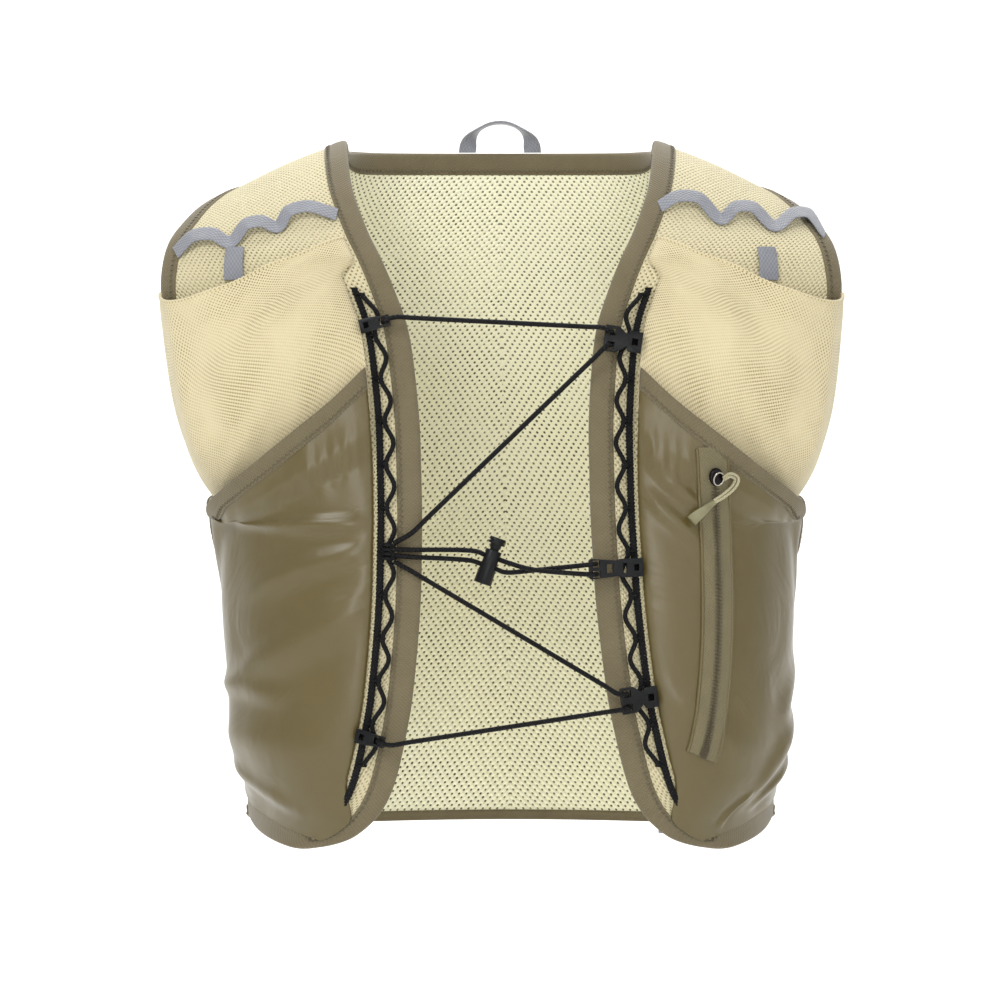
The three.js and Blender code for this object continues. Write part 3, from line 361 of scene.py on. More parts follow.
def addNode(tree, kind, settings=None, links=None):
    node = tree.nodes.new("ShaderNode" + kind)
    for key, value in (settings or {}).items():
        if isinstance(key, str) and hasattr(node, key):
            setattr(node, key, value)
        else:
            node.inputs[key].default_value = value
    for socket, source in (links or {}).items():
        tree.links.new(source, node.inputs[socket])
    return node


def maths(tree, operation, links, by=None):
    settings = {"operation": operation} | ({} if by is None else {1: by})
    return addNode(tree, "Math", settings, links).outputs[0]


def blendTones(tree, look, low, high, share):
    tones = {"data_type": "RGBA", 6: linear(look[low]), 7: linear(look[high])}
    return addNode(tree, "Mix", tones, {0: share}).outputs[2]


def wire(tree, shader, colour, bump):
    tree.links.new(colour, shader.inputs["Base Color"])
    tree.links.new(bump.outputs[0], shader.inputs["Normal"])


def newFinish(name, settings):
    material = bpy.data.materials.new(name)
    material.use_nodes = True
    shader = material.node_tree.nodes["Principled BSDF"]
    for key, value in settings.items():
        shader.inputs[key].default_value = value
    return material, material.node_tree, shader


def clothUv(tree, across, along, fold=False):
    # The piece's own uv in metres, counted in pattern steps of `across` and `along` millimetres
    uv = addNode(tree, "UVMap", {"uv_map": "cloth"})
    parts = addNode(tree, "SeparateXYZ", links={0: uv.outputs[0]})
    wide = parts.outputs[0]
    if fold:
        wide = maths(tree, "ABSOLUTE", {0: wide})
    u = maths(tree, "MULTIPLY", {0: wide}, 1000 / across)
    v = maths(tree, "MULTIPLY", {0: parts.outputs[1]}, 1000 / along)
    return uv.outputs[0], u, v


def spots(tree, u, v):
    # Sine of one count times sine of the other: rounded spots in staggered rows, one a step
    waves = []
    for count in (u, v):
        waves.append(maths(tree, "SINE", {0: maths(tree, "MULTIPLY", {0: count}, math.pi)}))
    return maths(tree, "MULTIPLY", {0: waves[0], 1: waves[1]})


def knitMesh(name, look):
    # Warp-knitted mesh of polyester: matt yarn with rows of holes that show the shade behind
    settings = {"Roughness": look["roughness"], "Sheen Weight": 0.25, "Sheen Roughness": 0.5}
    material, tree, shader = newFinish(name, settings)
    uv, u, v = clothUv(tree, look["across"], look["along"], fold=True)
    field = spots(tree, maths(tree, "MULTIPLY_ADD", {0: v, 2: u}, look["slant"]), v)
    wander = addNode(tree, "TexNoise", {"Scale": look["wander"], "Detail": 2.0}, {"Vector": uv})
    uneven = maths(tree, "MULTIPLY_ADD", {0: wander.outputs[0], 2: field}, 0.5)
    limits = {1: look["open"] + 0.25 - look["soft"], 2: look["open"] + 0.25 + look["soft"]}
    hole = addNode(tree, "MapRange", limits, {0: uneven})
    shade = addNode(tree, "TexNoise", {"Scale": 9.0, "Detail": 3.0}, {"Vector": uv})
    # Painted shade: the dark in the holes is made weaker in places at random by this noise, down to the share
    # least.
    throughShade = addNode(tree, "TexNoise", {"Scale": 26.0, "Detail": 2.0}, {"Vector": uv})
    depth = addNode(tree, "MapRange", {1: 0.35, 2: 0.65, 3: look["least"], 4: 1.0}, {0: throughShade.outputs[0]})
    shown = maths(tree, "MULTIPLY", {0: hole.outputs[0], 1: depth.outputs[0]})
    yarn = blendTones(tree, look, "yarn", "light", shade.outputs[0])
    shadeBehind = {"data_type": "RGBA", 7: linear(look["hole"])}
    colour = addNode(tree, "Mix", shadeBehind, {0: shown, 6: yarn})
    height = maths(tree, "MULTIPLY", {0: uneven}, -1.0)
    settings = {"Strength": look["relief"], "Distance": look["depth"]}
    bump = addNode(tree, "Bump", settings, {"Height": height})
    wire(tree, shader, colour.outputs[2], bump)
    return material


def wovenFinish(name, look):
    # Plain or ribbed weave: threads across and along, a little colour drift, sheen from the thread's shine
    settings = {
        "Roughness": look["roughness"],
        "Sheen Weight": look["sheen"],
        "Sheen Roughness": 0.4,
        "Specular IOR Level": look.get("specular", 0.5),
    }
    material, tree, shader = newFinish(name, settings)
    uv, u, v = clothUv(tree, look["across"], look["along"])
    field = spots(tree, u, v)
    drift = addNode(tree, "TexNoise", {"Scale": look["drift"], "Detail": 4.0}, {"Vector": uv})
    base = blendTones(tree, look, "dark", "light", drift.outputs[0])
    thread = addNode(tree, "MapRange", {1: -1.0, 2: 1.0, 3: 1 - look["contrast"], 4: 1.0}, {0: field})
    colour = addNode(tree, "VectorMath", {"operation": "SCALE"}, {0: base, 3: thread.outputs[0]})
    bump = addNode(tree, "Bump", {"Strength": look["relief"], "Distance": look["depth"]}, {"Height": field})
    if "crinkle" in look:
        fold = addNode(tree, "TexNoise", {"Scale": 24.0, "Detail": 3.0, "Distortion": 1.2}, {"Vector": uv})
        settings = {"Strength": look["crinkle"], "Distance": 0.006}
        bump = addNode(tree, "Bump", settings, {"Height": fold.outputs[0], "Normal": bump.outputs[0]})
    wire(tree, shader, colour.outputs[0], bump)
    return material


def mouldedFinish(name, look):
    # Injection-moulded or cast surface: one colour with a faint mottle and fine grain
    settings = {
        "Roughness": look["roughness"],
        "Metallic": look.get("metallic", 0.0),
        "IOR": look.get("ior", 1.5),
        "Specular IOR Level": look.get("specular", 0.5),
        "Transmission Weight": look.get("clear", 0.0),
    }
    material, tree, shader = newFinish(name, settings)
    spot = addNode(tree, "TexCoord")
    settings = {"Scale": look["grain"], "Detail": 4.0}
    grain = addNode(tree, "TexNoise", settings, {"Vector": spot.outputs["Object"]})
    colour = blendTones(tree, look, "dark", "light", grain.outputs[0])
    bump = addNode(tree, "Bump", {"Strength": 0.15, "Distance": 0.0002}, {"Height": grain.outputs[0]})
    wire(tree, shader, colour, bump)
    return material


# Spacer mesh of the inner back: coarse open knit, pale yellow, its holes look dark olive
backMeshLook = knitMesh("spacer mesh, pale yellow", {
    "across": 2.1, "along": 2.2, "slant": 0.35, "open": 0.6, "soft": 0.1, "wander": 140.0,
    "roughness": 0.9, "least": 0.8,
    "yarn": "#FAF6CF", "light": "#FFFEE6", "hole": "#4A4520", "relief": 0.6, "depth": 0.0008,
})
# Air mesh of the front: smaller round holes, sand coloured
airMeshLook = knitMesh("air mesh, sand", {
    "across": 1.5, "along": 1.7, "slant": 0.0, "open": 0.58, "soft": 0.16, "wander": 200.0,
    "roughness": 0.9, "least": 0.5,
    "yarn": "#D9CDA4", "light": "#E6DCB6", "hole": "#7D7046", "relief": 0.7, "depth": 0.0008,
})
# Stretch mesh of the bottle pockets: fine knit, drawn at 1.15 mm so that it shows at this size
stretchMeshLook = knitMesh("stretch mesh, cream", {
    "across": 1.15, "along": 1.15, "slant": 0.0, "open": 0.38, "soft": 0.2, "wander": 260.0,
    "roughness": 0.8, "least": 0.2,
    "yarn": "#D2C49B", "light": "#E0D3AE", "hole": "#7A683A", "relief": 0.35, "depth": 0.0004,
})
# Calendered nylon of the lower pockets: tight weave pressed smooth, so it shines in soft broad streaks
nylonLook = wovenFinish("calendered nylon, taupe", {
    "across": 0.8, "along": 0.8, "roughness": 0.33, "sheen": 0.0, "specular": 0.6, "crinkle": 0.22,
    "drift": 14.0, "dark": "#5A4E29", "light": "#665932", "contrast": 0.03, "relief": 0.12, "depth": 0.0001,
})
# Knitted elastic binding: matt, ribbed along its length
bindingLook = wovenFinish("elastic binding, taupe", {
    "across": 1.1, "along": 0.9, "roughness": 0.82, "sheen": 0.3, "drift": 60.0,
    "dark": "#6C6147", "light": "#7B7055", "contrast": 0.16, "relief": 0.5, "depth": 0.0003,
})
# Stitching: a shade darker than the tape, with a slight shine
threadLook = wovenFinish("spun polyester thread, taupe", {
    "across": 0.5, "along": 0.5, "roughness": 0.6, "sheen": 0.2, "drift": 80.0,
    "dark": "#5A5139", "light": "#6A6147", "contrast": 0.1, "relief": 0.2, "depth": 0.0001,
})
# Webbing with reflective yarn: cool grey, coarse ribs
webbingLook = wovenFinish("reflective webbing, grey", {
    "across": 1.0, "along": 1.6, "roughness": 0.45, "sheen": 0.2, "drift": 90.0,
    "dark": "#83858D", "light": "#9A9CA4", "contrast": 0.3, "relief": 0.5, "depth": 0.0003,
})
# Braid over elastic: deep black, its relief catches small lights
braidLook = wovenFinish("braided elastic, black", {
    "across": 0.9, "along": 1.1, "roughness": 0.6, "sheen": 0.0, "specular": 0.25, "drift": 120.0,
    "dark": "#060608", "light": "#0E0E12", "contrast": 0.4, "relief": 0.8, "depth": 0.0004,
})
# Woven zip tape: matt, a little darker than the nylon
zipTapeLook = wovenFinish("zip tape, woven polyester", {
    "across": 0.9, "along": 0.9, "roughness": 0.8, "sheen": 0.2, "drift": 60.0,
    "dark": "#6F664A", "light": "#7F7658", "contrast": 0.2, "relief": 0.4, "depth": 0.0002,
})
# Twisted pull cord: pale and matt
pullCordLook = wovenFinish("twisted cord, beige", {
    "across": 0.8, "along": 1.0, "roughness": 0.7, "sheen": 0.3, "drift": 90.0,
    "dark": "#B5AC88", "light": "#C9C19E", "contrast": 0.3, "relief": 0.6, "depth": 0.0003,
})
# Clips and lock: near black, satin
plasticLook = mouldedFinish("acetal, black", {
    "roughness": 0.36, "specular": 0.25, "dark": "#060709", "light": "#0D0E11", "grain": 900.0,
})
# Teeth: brown, glossier than the tape that they sit on
toothLook = mouldedFinish("zip coil, nylon", {
    "roughness": 0.4, "dark": "#4A4230", "light": "#5C5340", "grain": 900.0,
})
# Slider: dark lacquer with hard small lights
metalLook = mouldedFinish("zip slider, black lacquered zinc", {
    "roughness": 0.28, "metallic": 0.9, "dark": "#1A181A", "light": "#2E2A2C", "grain": 700.0,
})
# Pull ring: the one bright metal of the vest
wireLook = mouldedFinish("pull ring, bare steel", {
    "roughness": 0.25, "metallic": 1.0, "dark": "#A9A49A", "light": "#C9C4BA", "grain": 500.0,
})
# Pull end: lets some light through
gelLook = mouldedFinish("pull end, soft clear vinyl", {
    "roughness": 0.3, "ior": 1.52, "clear": 0.35, "dark": "#8F8A66", "light": "#A7A27C", "grain": 300.0,
})
print("materials made")

# Camera: level with the vest's middle, straight in front
camera = addObject("camera", bpy.data.cameras.new("camera"))
camera.data.lens = 110.8
camera.data.sensor_width = 36
camera.location = (0, -1.703, -0.195)
camera.rotation_euler = (math.pi / 2, 0, 0)
bpy.context.scene.camera = camera


def asSheet(rings):
    # The size of its cut, read off the face as it was laid out; the numbers are worked out and not kept
    face = rings[:, : rings.shape[1] // 2] / 1000
    wide = float(arcs(face, 1)[:, -1].max())
    long = float(np.linalg.norm(np.diff(face, axis=0), axis=-1).sum(0).max())
    across, up = np.diff(face, axis=1)[:-1], np.diff(face, axis=0)[:, :-1]
    area = np.linalg.norm(np.cross(across, up), axis=-1).sum()
    area = max(min(float(area), wide * long), 0.31 * wide * long)


# Back: the inner spacer mesh, and the woven shell behind it
def backRings(low, high, columns=121, rows=150):
    u = np.linspace(-1, 1, columns)[None, :]
    t = np.linspace(0, backRows, rows)[:, None]
    outer, inner = backOff(u, t, high), backOff(u, t, low)
    middle = arcs(inner, 1)
    middle = middle - middle[:, columns // 2 : columns // 2 + 1]
    return wallRings(outer, inner), np.concatenate([middle, middle[:, ::-1]], axis=1)


rings, across = backRings(0, vest["meshWall"])
piece = skin("back_inner_mesh", rings, backMeshLook, "back_mesh_cloth", ["back_mesh"], across=across)
asSheet(rings)
rings, across = backRings(shellLow, backWall)
piece = skin("back_outer_shell", rings, nylonLook, "woven_nylon", ["back_shell"], across=across)
asSheet(rings)

# Front panels of air mesh, with the hem's corner rounded: a quarter ellipse in share across and row
corner = {"share": 0.24, "rows": 0.85}


def panelRings(surface, columns, rows, thick):
    u, v = np.linspace(0, 1, columns)[None, :], np.linspace(0, 1, rows)[:, None]
    outer, inner = surface(u, v, thick), surface(u, v, 0.0)
    middle = arcs(outer, 1)
    return wallRings(outer, inner), np.concatenate([middle, middle[:, ::-1]], axis=1)


def cornerRow(s):
    return corner["rows"] * (1 - np.sqrt(1 - np.clip(1 - s / corner["share"], 0, 1) ** 2))


def frontCut(u, v, out):
    return frontOff(u, lerp(cornerRow(u), frontRows, v), out)


for side, word in bothSides:
    rings, across = panelRings(frontCut, 48, 190, vest["meshWall"])
    nodes = ["front_mesh_" + word]
    piece = skin("front_panel_" + word, rings, airMeshLook, "front_mesh_cloth", nodes, side, across=across)
    asSheet(rings)
print("body cloth made")

# Bindings: a knitted tape folded over the edge and sewn down with a zigzag
binding = {
    "front": 11.0,
    "neck": 11.0,
    "armhole": 8.0,
    "pocket": 10.0,
    "lip": 1.9,  # how far the fold stands past the cloth's edge
    "rise": 1.5,  # tape and gap over each face of the cloth
    "stitchFromEnd": 2.3,  # middle of the zigzag from the tape's free end
    "stitchWidth": 1.7,
    "stitchPitch": 1.5,
    "thread": 0.3,
    "backHem": 3.2,
}


def tapeRings(surface, s, t, wS, wT, width, thick, n=22):
    # Sections round the edge at each station: as wide as the tape, flat with a rounded fold, and pressed
    # in a little under the stitches. wS and wT say which way inwards is.
    step = 0.01
    here = surface(s, t, 0.0)
    perS = np.linalg.norm(surface(s + step * np.sign(wS + 1e-9), t, 0.0) - here, axis=-1) / step
    perT = np.linalg.norm(surface(s, t + step * np.sign(wT + 1e-9), 0.0) - here, axis=-1) / step
    a, c = oval(n, 0.5)
    inwards = lerp(-binding["lip"], width, (a + 1) / 2)
    press = 1 - 0.22 * np.exp(-(((inwards - width + binding["stitchFromEnd"]) / 1.1) ** 2))
    out = thick / 2 + (thick / 2 + binding["rise"]) * c * press
    sAt = s[:, None] + inwards * (wS / perS)[:, None]
    tAt = t[:, None] + inwards * (wT / perT)[:, None]
    return surface(sAt, tAt, np.broadcast_to(out, sAt.shape))


def smoothRings(rings, reach, closed=False):
    # Each station takes the mean of its neighbours, so that corners turn softly
    kernel = np.hanning(2 * reach + 3)[1:-1]
    kernel = kernel / kernel.sum()
    before, after = np.repeat(rings[:1], reach, 0), np.repeat(rings[-1:], reach, 0)
    if closed:
        before, after = rings[-reach:], rings[:reach]
    padded = np.concatenate([before, rings, after])
    return sum(w * padded[k : k + len(rings)] for k, w in enumerate(kernel))


def zigzag(name, rings, width, inside=False, side=1):
    # Thread that steps from one line of the tape to another and back, lying on its face
    half = rings.shape[1] // 2
    faces = [rings[:, :half], rings[:, half:][:, ::-1]]
    on, under = faces[::-1] if inside else faces
    a = oval(2 * half, 0.5)[0][:half]
    rails = []
    for shift in (-0.5, 0.5):
        inwards = width - binding["stitchFromEnd"] + shift * binding["stitchWidth"]
        want = 2 * (inwards + binding["lip"]) / (width + binding["lip"]) - 1
        k = int(np.clip(np.searchsorted(a, want), 1, half - 1))
        f = (want - a[k - 1]) / (a[k] - a[k - 1])
        face = lerp(on[:, k - 1], on[:, k], f)
        away = unit(face - lerp(under[:, k - 1], under[:, k], f))
        rails.append(resample(face + away * 0.12, binding["stitchPitch"]))
    count = min(len(line) for line in rails)
    path = np.where((np.arange(count) % 2 == 0)[:, None], rails[0][:count], rails[1][:count])
    skin(name, cordRings(path, binding["thread"], 4), threadLook, "binding_knit", (), side, sharp=80)


def edgePath(parts):
    # Stations along straight runs of the grid's edge, with a fan at each corner
    return [np.concatenate(column) for column in zip(*parts)]


turn = np.linspace(0.03, np.pi / 2 - 0.03, 44)
roundS, roundT = corner["share"] * (1 - np.cos(turn)), corner["rows"] * (1 - np.sin(turn))
frontEdge = edgePath([
    (np.zeros(250), np.linspace(frontRows, corner["rows"], 250), np.ones(250), np.zeros(250)),
    (roundS, roundT, np.cos(turn), np.sin(turn)),
    (np.linspace(corner["share"], 1, 60), np.zeros(60), np.zeros(60), np.ones(60)),
])
frontTape = smoothRings(tapeRings(frontOff, *frontEdge, binding["front"], vest["meshWall"]), 4)


def tapeAlong(surface, s, t, inS, inT, width, thick):
    # A run of tape along s or t alone, whose cloth lies the same way all along
    s, t = np.broadcast_arrays(s, t)
    return tapeRings(surface, s, t, np.full(s.shape, inS), np.full(s.shape, inT), width, thick)


frontArm, backArm = np.linspace(6.5, 17.8, 110), np.linspace(10.85, 6.5, 90)
armFront = tapeAlong(frontOff, 1.0, frontArm, -1.0, 0.0, binding["armhole"], vest["meshWall"])
armBack = tapeAlong(backOff, 1.0, backArm, -1.0, 0.0, binding["armhole"], backWall)
armTape = smoothRings(np.concatenate([armFront, armBack]), 6, closed=True)
knit = (bindingLook, "binding_knit")
for side, word in bothSides:
    skin("front_edge_binding_" + word, frontTape, *knit, ["front_binding_" + word], side)
    zigzag("front_stitches_" + word, frontTape, binding["front"], side=side)
    skin("armhole_edge_binding_" + word, armTape, *knit, ["armhole_binding_" + word], side, closed=True)
    zigzag("armhole_stitches_" + word, armTape, binding["armhole"], side=side)
neckU = np.linspace(-neckShare * 0.985, neckShare * 0.985, 160)
neckTape = tapeAlong(backOff, neckU, float(backRows), 0.0, -1.0, binding["neck"], backWall)
skin("neck_edge_binding", neckTape, *knit, ["neck_binding"])
zigzag("neck_stitches", neckTape, binding["neck"], inside=True)
hemTape = tapeAlong(backOff, np.linspace(-1, 1, 200), 0.0, 0.0, 1.0, binding["backHem"], backWall)
skin("back_hem_edge_binding", hemTape, *knit, ["back_hem_binding"])
print("bindings made")

# Pockets: stretch mesh above for the flasks, smooth nylon below
pocket = {
    "fromEdge": 23.0,
    "topFromEdge": 13.0,
    "bottleTop": (-0.155, -0.222),
    "split": (-0.335, -0.5),
    "underlap": 0.055,
    "hem": (0.6, 0.95),  # rows above the hem, so that the nylon ends under the hem's binding
    "footFromEdge": 9.5,
    "gap": 1.3,
    "wall": 1.0,
    "overBinding": 1.9,
    "bottleDepth": 17.0,
    "bottleMouth": 0.9,
    "lowerDepth": 11.0,
    "lowerMouth": 0.75,
    "lowerSunk": 0.86,
    "mouthSag": 1.0,
    "drape": 1.6,  # soft waves of the mesh towards its mouth
    "gathers": 0.28,
    "clothSize": (105.0, 150.0),  # width and height in mm that creases are measured on
    "creaseScale": 2.3,
    "drapeSize": (105.0, 100.0),
    "drapeScale": 1.8,
    "railTop": (-0.222, 19.0),  # height, and mm from the free edge
}
# Creases of the nylon: from (u, v) to (u, v), half width and height in mm. u runs from the rail, v from
# the hem.
creases = {
    -1: [
        (0.0, 0.66, 0.75, 0.86, 5.0, 1.6),
        (0.0, 0.6, 0.6, 0.62, 4.0, 1.3),
        (0.02, 0.5, 0.85, 0.42, 7.0, 1.8),
        (0.35, 0.36, 1.0, 0.5, 5.0, 1.3),
        (0.1, 0.22, 0.9, 0.3, 7.0, 1.3),
        (0.3, 0.1, 1.0, 0.2, 5.0, 1.2),
        (0.25, 0.98, 0.15, 0.72, 5.0, 1.1),
        (0.6, 0.9, 0.95, 0.72, 6.0, 1.4),
    ],
    1: [
        (0.0, 0.9, 0.3, 0.72, 5.0, 1.4),
        (0.02, 0.78, 0.36, 0.52, 5.0, 1.3),
        (0.45, 0.12, 1.0, 0.44, 6.0, 2.0),
        (0.5, 0.06, 1.0, 0.24, 4.5, 1.6),
        (0.62, 0.3, 1.0, 0.62, 7.0, 1.5),
        (0.05, 0.34, 0.4, 0.2, 6.0, 1.2),
        (0.65, 0.95, 0.95, 0.62, 5.0, 1.1),
        (0.44, 0.13, 0.16, 0.0, 1.6, 1.2),  # seam from the zip to the hem
    ],
}
# Soft folds of the flask pocket's mesh, in the same terms
drapes = [
    (0.8, 1.0, 0.66, 0.3, 7.0, 1.5),
    (0.5, 1.0, 0.46, 0.45, 8.0, 1.2),
    (0.16, 0.96, 0.34, 0.5, 6.0, 1.3),
    (0.3, 0.4, 0.75, 0.16, 7.0, 1.1),
    (0.93, 0.8, 0.86, 0.2, 5.0, 1.2),
]


def rowsBetween(inner, outer):
    return float(rowAtHeight(inner, pocket["fromEdge"])), float(outerRow(outer))


topRows = rowsBetween(*pocket["bottleTop"])
splitRows = rowsBetween(*pocket["split"])
footRows = rowsBetween(*(height - pocket["underlap"] for height in pocket["split"]))
hemRows = pocket["hem"]
railTopRow = float(rowAtHeight(*pocket["railTop"]))


def pocketShare(u, t):
    nearTop = smooth((t - railTopRow - 0.3) / 0.6)
    nearFoot = smooth((2.3 - t) / 1.1)
    fromEdge = lerp(pocket["fromEdge"], pocket["topFromEdge"], nearTop)
    fromEdge = lerp(fromEdge, pocket["footFromEdge"], nearFoot)
    return lerp(shareAcross(t, fromEdge), 0.97, u)


def bulge(u, power):
    return np.clip(np.sin(np.pi * np.clip(u, 0, 1)), 0, 1) ** power


def bottleStand(u, t):
    foot = lerp(*footRows, u)
    along = np.clip((t - foot) / (lerp(*topRows, u) - foot), 0, 1)
    length = smooth(along / 0.45) * lerp(1, pocket["bottleMouth"], smooth((along - 0.5) / 0.5))
    return pocket["bottleDepth"] * bulge(u, 0.75) * length


def seat(u):
    return vest["meshWall"] + pocket["gap"] + pocket["overBinding"] * smooth((u - 0.55) / 0.2)


def mouthRow(u):
    return lerp(*topRows, u) - pocket["mouthSag"] * bulge(u, 0.8)


def ridges(u, v, table, wide, long):
    # Each crease is a rounded ridge: height falls with the distance to its line, and at its two ends
    x, z = u * wide, v * long
    total = 0 * (x + z)
    for u0, v0, u1, v1, width, height in table:
        ax, az = (u1 - u0) * wide, (v1 - v0) * long
        along = np.clip(((x - u0 * wide) * ax + (z - v0 * long) * az) / (ax * ax + az * az), 0, 1)
        apart = np.hypot(x - u0 * wide - along * ax, z - v0 * long - along * az) / width
        ends = smooth((along + 0.12) / 0.3) * smooth((1.02 - along) / 0.45)
        total = total + height * ends * (np.exp(-(apart**2)) - 0.45 * np.exp(-((apart / 1.9) ** 2)))
    return total


def creaseHeight(u, v, side):
    # The nylon's creases, a slow ripple, and small tucks under the band
    total = 0.35 * np.sin(7 * u + 3 * v + side) * np.sin(9 * v + 2 * u)
    total = total + pocket["creaseScale"] * ridges(u, v, creases[side], *pocket["clothSize"])
    tucks = np.sin(110.0 * u + 9.0 * np.sin(7.0 * u)) * np.exp(-(((v - 0.885) / 0.04) ** 2))
    edges = smooth(u / 0.07) * smooth((1 - u) / 0.14) * smooth(v / 0.06) * smooth((1.02 - v) / 0.08)
    return (total + pocket["gathers"] * tucks) * edges


def bottleSurface(u, v, out):
    # The front's surface lifted by a half-sine across and a smooth rise up from the foot, with slack waves
    t = lerp(lerp(*footRows, u), mouthRow(u), v)
    slack = pocket["drape"] * smooth((v - 0.35) / 0.65) * bulge(u, 1.0)
    waves = slack * (np.sin(9.5 * u + 1.1 + 0.8 * v) + 0.5 * np.sin(21.0 * u + 2.0))
    waves = waves + pocket["drapeScale"] * ridges(u, v, drapes, *pocket["drapeSize"]) * bulge(u, 0.5)
    return frontOff(pocketShare(u, t), t, seat(u) + bottleStand(u, t) + waves + out)


def lowerSurface(u, v, out, side):
    # Lies over the bottle pocket where they lap, with its own bulge and the creases
    t = lerp(lerp(*hemRows, u), lerp(*splitRows, u), v)
    length = smooth(v / 0.3) * lerp(1, pocket["lowerMouth"], smooth((v - 0.6) / 0.4))
    own = (pocket["lowerDepth"] + pocket["lowerSunk"]) * bulge(u, 0.6) * length - pocket["lowerSunk"]
    lap = pocket["wall"] + pocket["gap"] + pocket["overBinding"]
    over = lap * smooth((t - lerp(*footRows, u) + 0.9) / 0.7)
    lift = seat(u) + bottleStand(u, t) + over + own + creaseHeight(u, v, side)
    return frontOff(pocketShare(u, t), t, lift + out)


for side, word in bothSides:
    rings, across = panelRings(bottleSurface, 96, 90, pocket["wall"])
    stretch = (stretchMeshLook, "pocket_mesh_cloth")
    piece = skin("flask_pocket_" + word, rings, *stretch, ["bottle_pocket_" + word], side, across=across)
    asSheet(rings)
    mouth = bottleSurface(np.linspace(0, 1, 120), 1.0, 0.5)
    skin("flask_pocket_hem_" + word, cordRings(mouth, 1.0, 8), *stretch, (), side)
    surface = lambda u, v, out, side=side: lowerSurface(u, v, out, side)
    rings, across = panelRings(surface, 140, 170, pocket["wall"])
    nodes = ["lower_pocket_" + word]
    piece = skin("lower_pocket_nylon_" + word, rings, nylonLook, "woven_nylon", nodes, side, across=across)
    asSheet(rings)
    band = tapeAlong(surface, np.linspace(0, 1, 150), 1.0, 0.0, -1.0, binding["pocket"], pocket["wall"])
    skin("pocket_edge_binding_" + word, band, *knit, ["pocket_binding_" + word], side)
    zigzag("pocket_stitches_" + word, band, binding["pocket"], side=side)
print("pockets made")

# Seams that close the sides and the shoulders, each under a narrow sewn tape
seam = {"halfWidth": 3.2, "lift": 0.5, "wall": 0.5}


def seamStrip(name, path, normal, side):
    tangent = unit(np.gradient(path, axis=0))
    across = unit(np.cross(normal, tangent))
    a, c = oval(10, 0.5)
    out = seam["lift"] + seam["wall"] * c
    rings = path[:, None] + across[:, None] * (a * seam["halfWidth"])[:, None]
    rings = rings + normal[:, None] * out[:, None]
    skin(name, rings, *knit, (), side)


for side, word in bothSides:
    t = np.linspace(0.25, 5.9, 80)
    path = frontOff(np.ones(80), t, vest["meshWall"] + 0.6)
    seamStrip("side_seam_" + word, path, unit(path - frontPoint(1.0, t)), side)
    s = np.linspace(0.1, 0.92, 60)
    path = frontOff(s, np.full(60, float(frontRows)), vest["meshWall"] + 0.7)
    seamStrip("shoulder_seam_" + word, path, unit(path - frontPoint(s, float(frontRows))), side)

# Loop rails and the wavy cord that runs through their loops
rail = {
    "fromEdge": 19.0,
    "width": 3.6,
    "wall": 1.6,
    "foot": -0.93,
    "cord": 2.5,
    "reach": 7.2,
    "pitch": 22.5,
    "rib": 1.8,
    "node": -0.578,
}
railSeat = vest["meshWall"] + vest["sewnGap"] + 0.3
railFootRow = float(rowAtHeight(rail["foot"], rail["fromEdge"]))
railT = np.linspace(railTopRow, railFootRow, 420)
railPath = onFront(rail["fromEdge"], railT, 0.0)
railAlong = np.concatenate([[0], np.cumsum(np.linalg.norm(np.diff(railPath, axis=0), axis=1))])
a, c = oval(12, 0.45)
ribs = 1 + 0.13 * np.sin(2 * np.pi * railAlong / rail["rib"])[:, None]
railOut = railSeat + rail["wall"] / 2 * (1 + c * ribs)
railRings = onFront(rail["fromEdge"] + a * ribs * rail["width"] / 2, railT[:, None], railOut)
waves = int((railAlong[-1] - 8) // rail["pitch"])
phase = np.linspace(0, waves, waves * 26 + 1)
waveT = np.interp(4 + phase * rail["pitch"], railAlong, railT)
nearest = rail["width"] / 2 + rail["cord"] / 2 + 0.2
waveReach = lerp(nearest, rail["reach"], np.sin(np.pi * phase) ** 2)
waveOut = vest["meshWall"] + pocket["overBinding"] + rail["cord"] / 2
wavePath = onFront(rail["fromEdge"] - waveReach, waveT, waveOut)
braid = (braidLook, "black_elastic")
for side, word in bothSides:
    skin("ribbed_rail_" + word, railRings, *braid, ["loop_rail_" + word], side)
    skin("wavy_cord_" + word, cordRings(wavePath, rail["cord"] / 2, 10), *braid, ["loop_cord_" + word], side)
    for k in range(waves + 1):
        t = np.interp(4 + k * rail["pitch"], railAlong, railT)
        angle = circle(26)
        middle = rail["fromEdge"] - nearest * 0.62
        loop = onFront(middle + 2.2 * np.cos(angle), t + 0 * angle, railSeat + 1.4 + 1.9 * np.sin(angle))
        name = "rail_loop_" + word + "_" + str(k)
        skin(name, cordRings(loop, 0.55, 6), *braid, (), side, closed=True)
print("rails made")


# Clips and the cord lock: the solids' own shapes with moulded edges
def roundedCopy(node, name, radius, material, slot, body="vest"):
    mesh = bpy.data.objects[node].data.copy()
    mesh.name = name
    mesh.materials.clear()
    shape = bmesh.new()
    shape.from_mesh(mesh)
    bmesh.ops.remove_doubles(shape, verts=shape.verts, dist=2e-6)
    bmesh.ops.dissolve_limit(shape, angle_limit=math.radians(1), verts=shape.verts, edges=shape.edges)
    hardEdges = [e for e in shape.edges if e.is_manifold and e.calc_face_angle(0) > math.radians(35)]
    bevel = {"offset": radius, "segments": 2, "profile": 0.5, "affect": "EDGES", "clamp_overlap": True}
    bmesh.ops.bevel(shape, geom=hardEdges, **bevel)
    bmesh.ops.triangulate(shape, faces=[f for f in shape.faces if len(f.verts) > 4])
    shape.to_mesh(mesh)
    shape.free()
    return finishPiece(name, mesh, material, [node], 40, body)


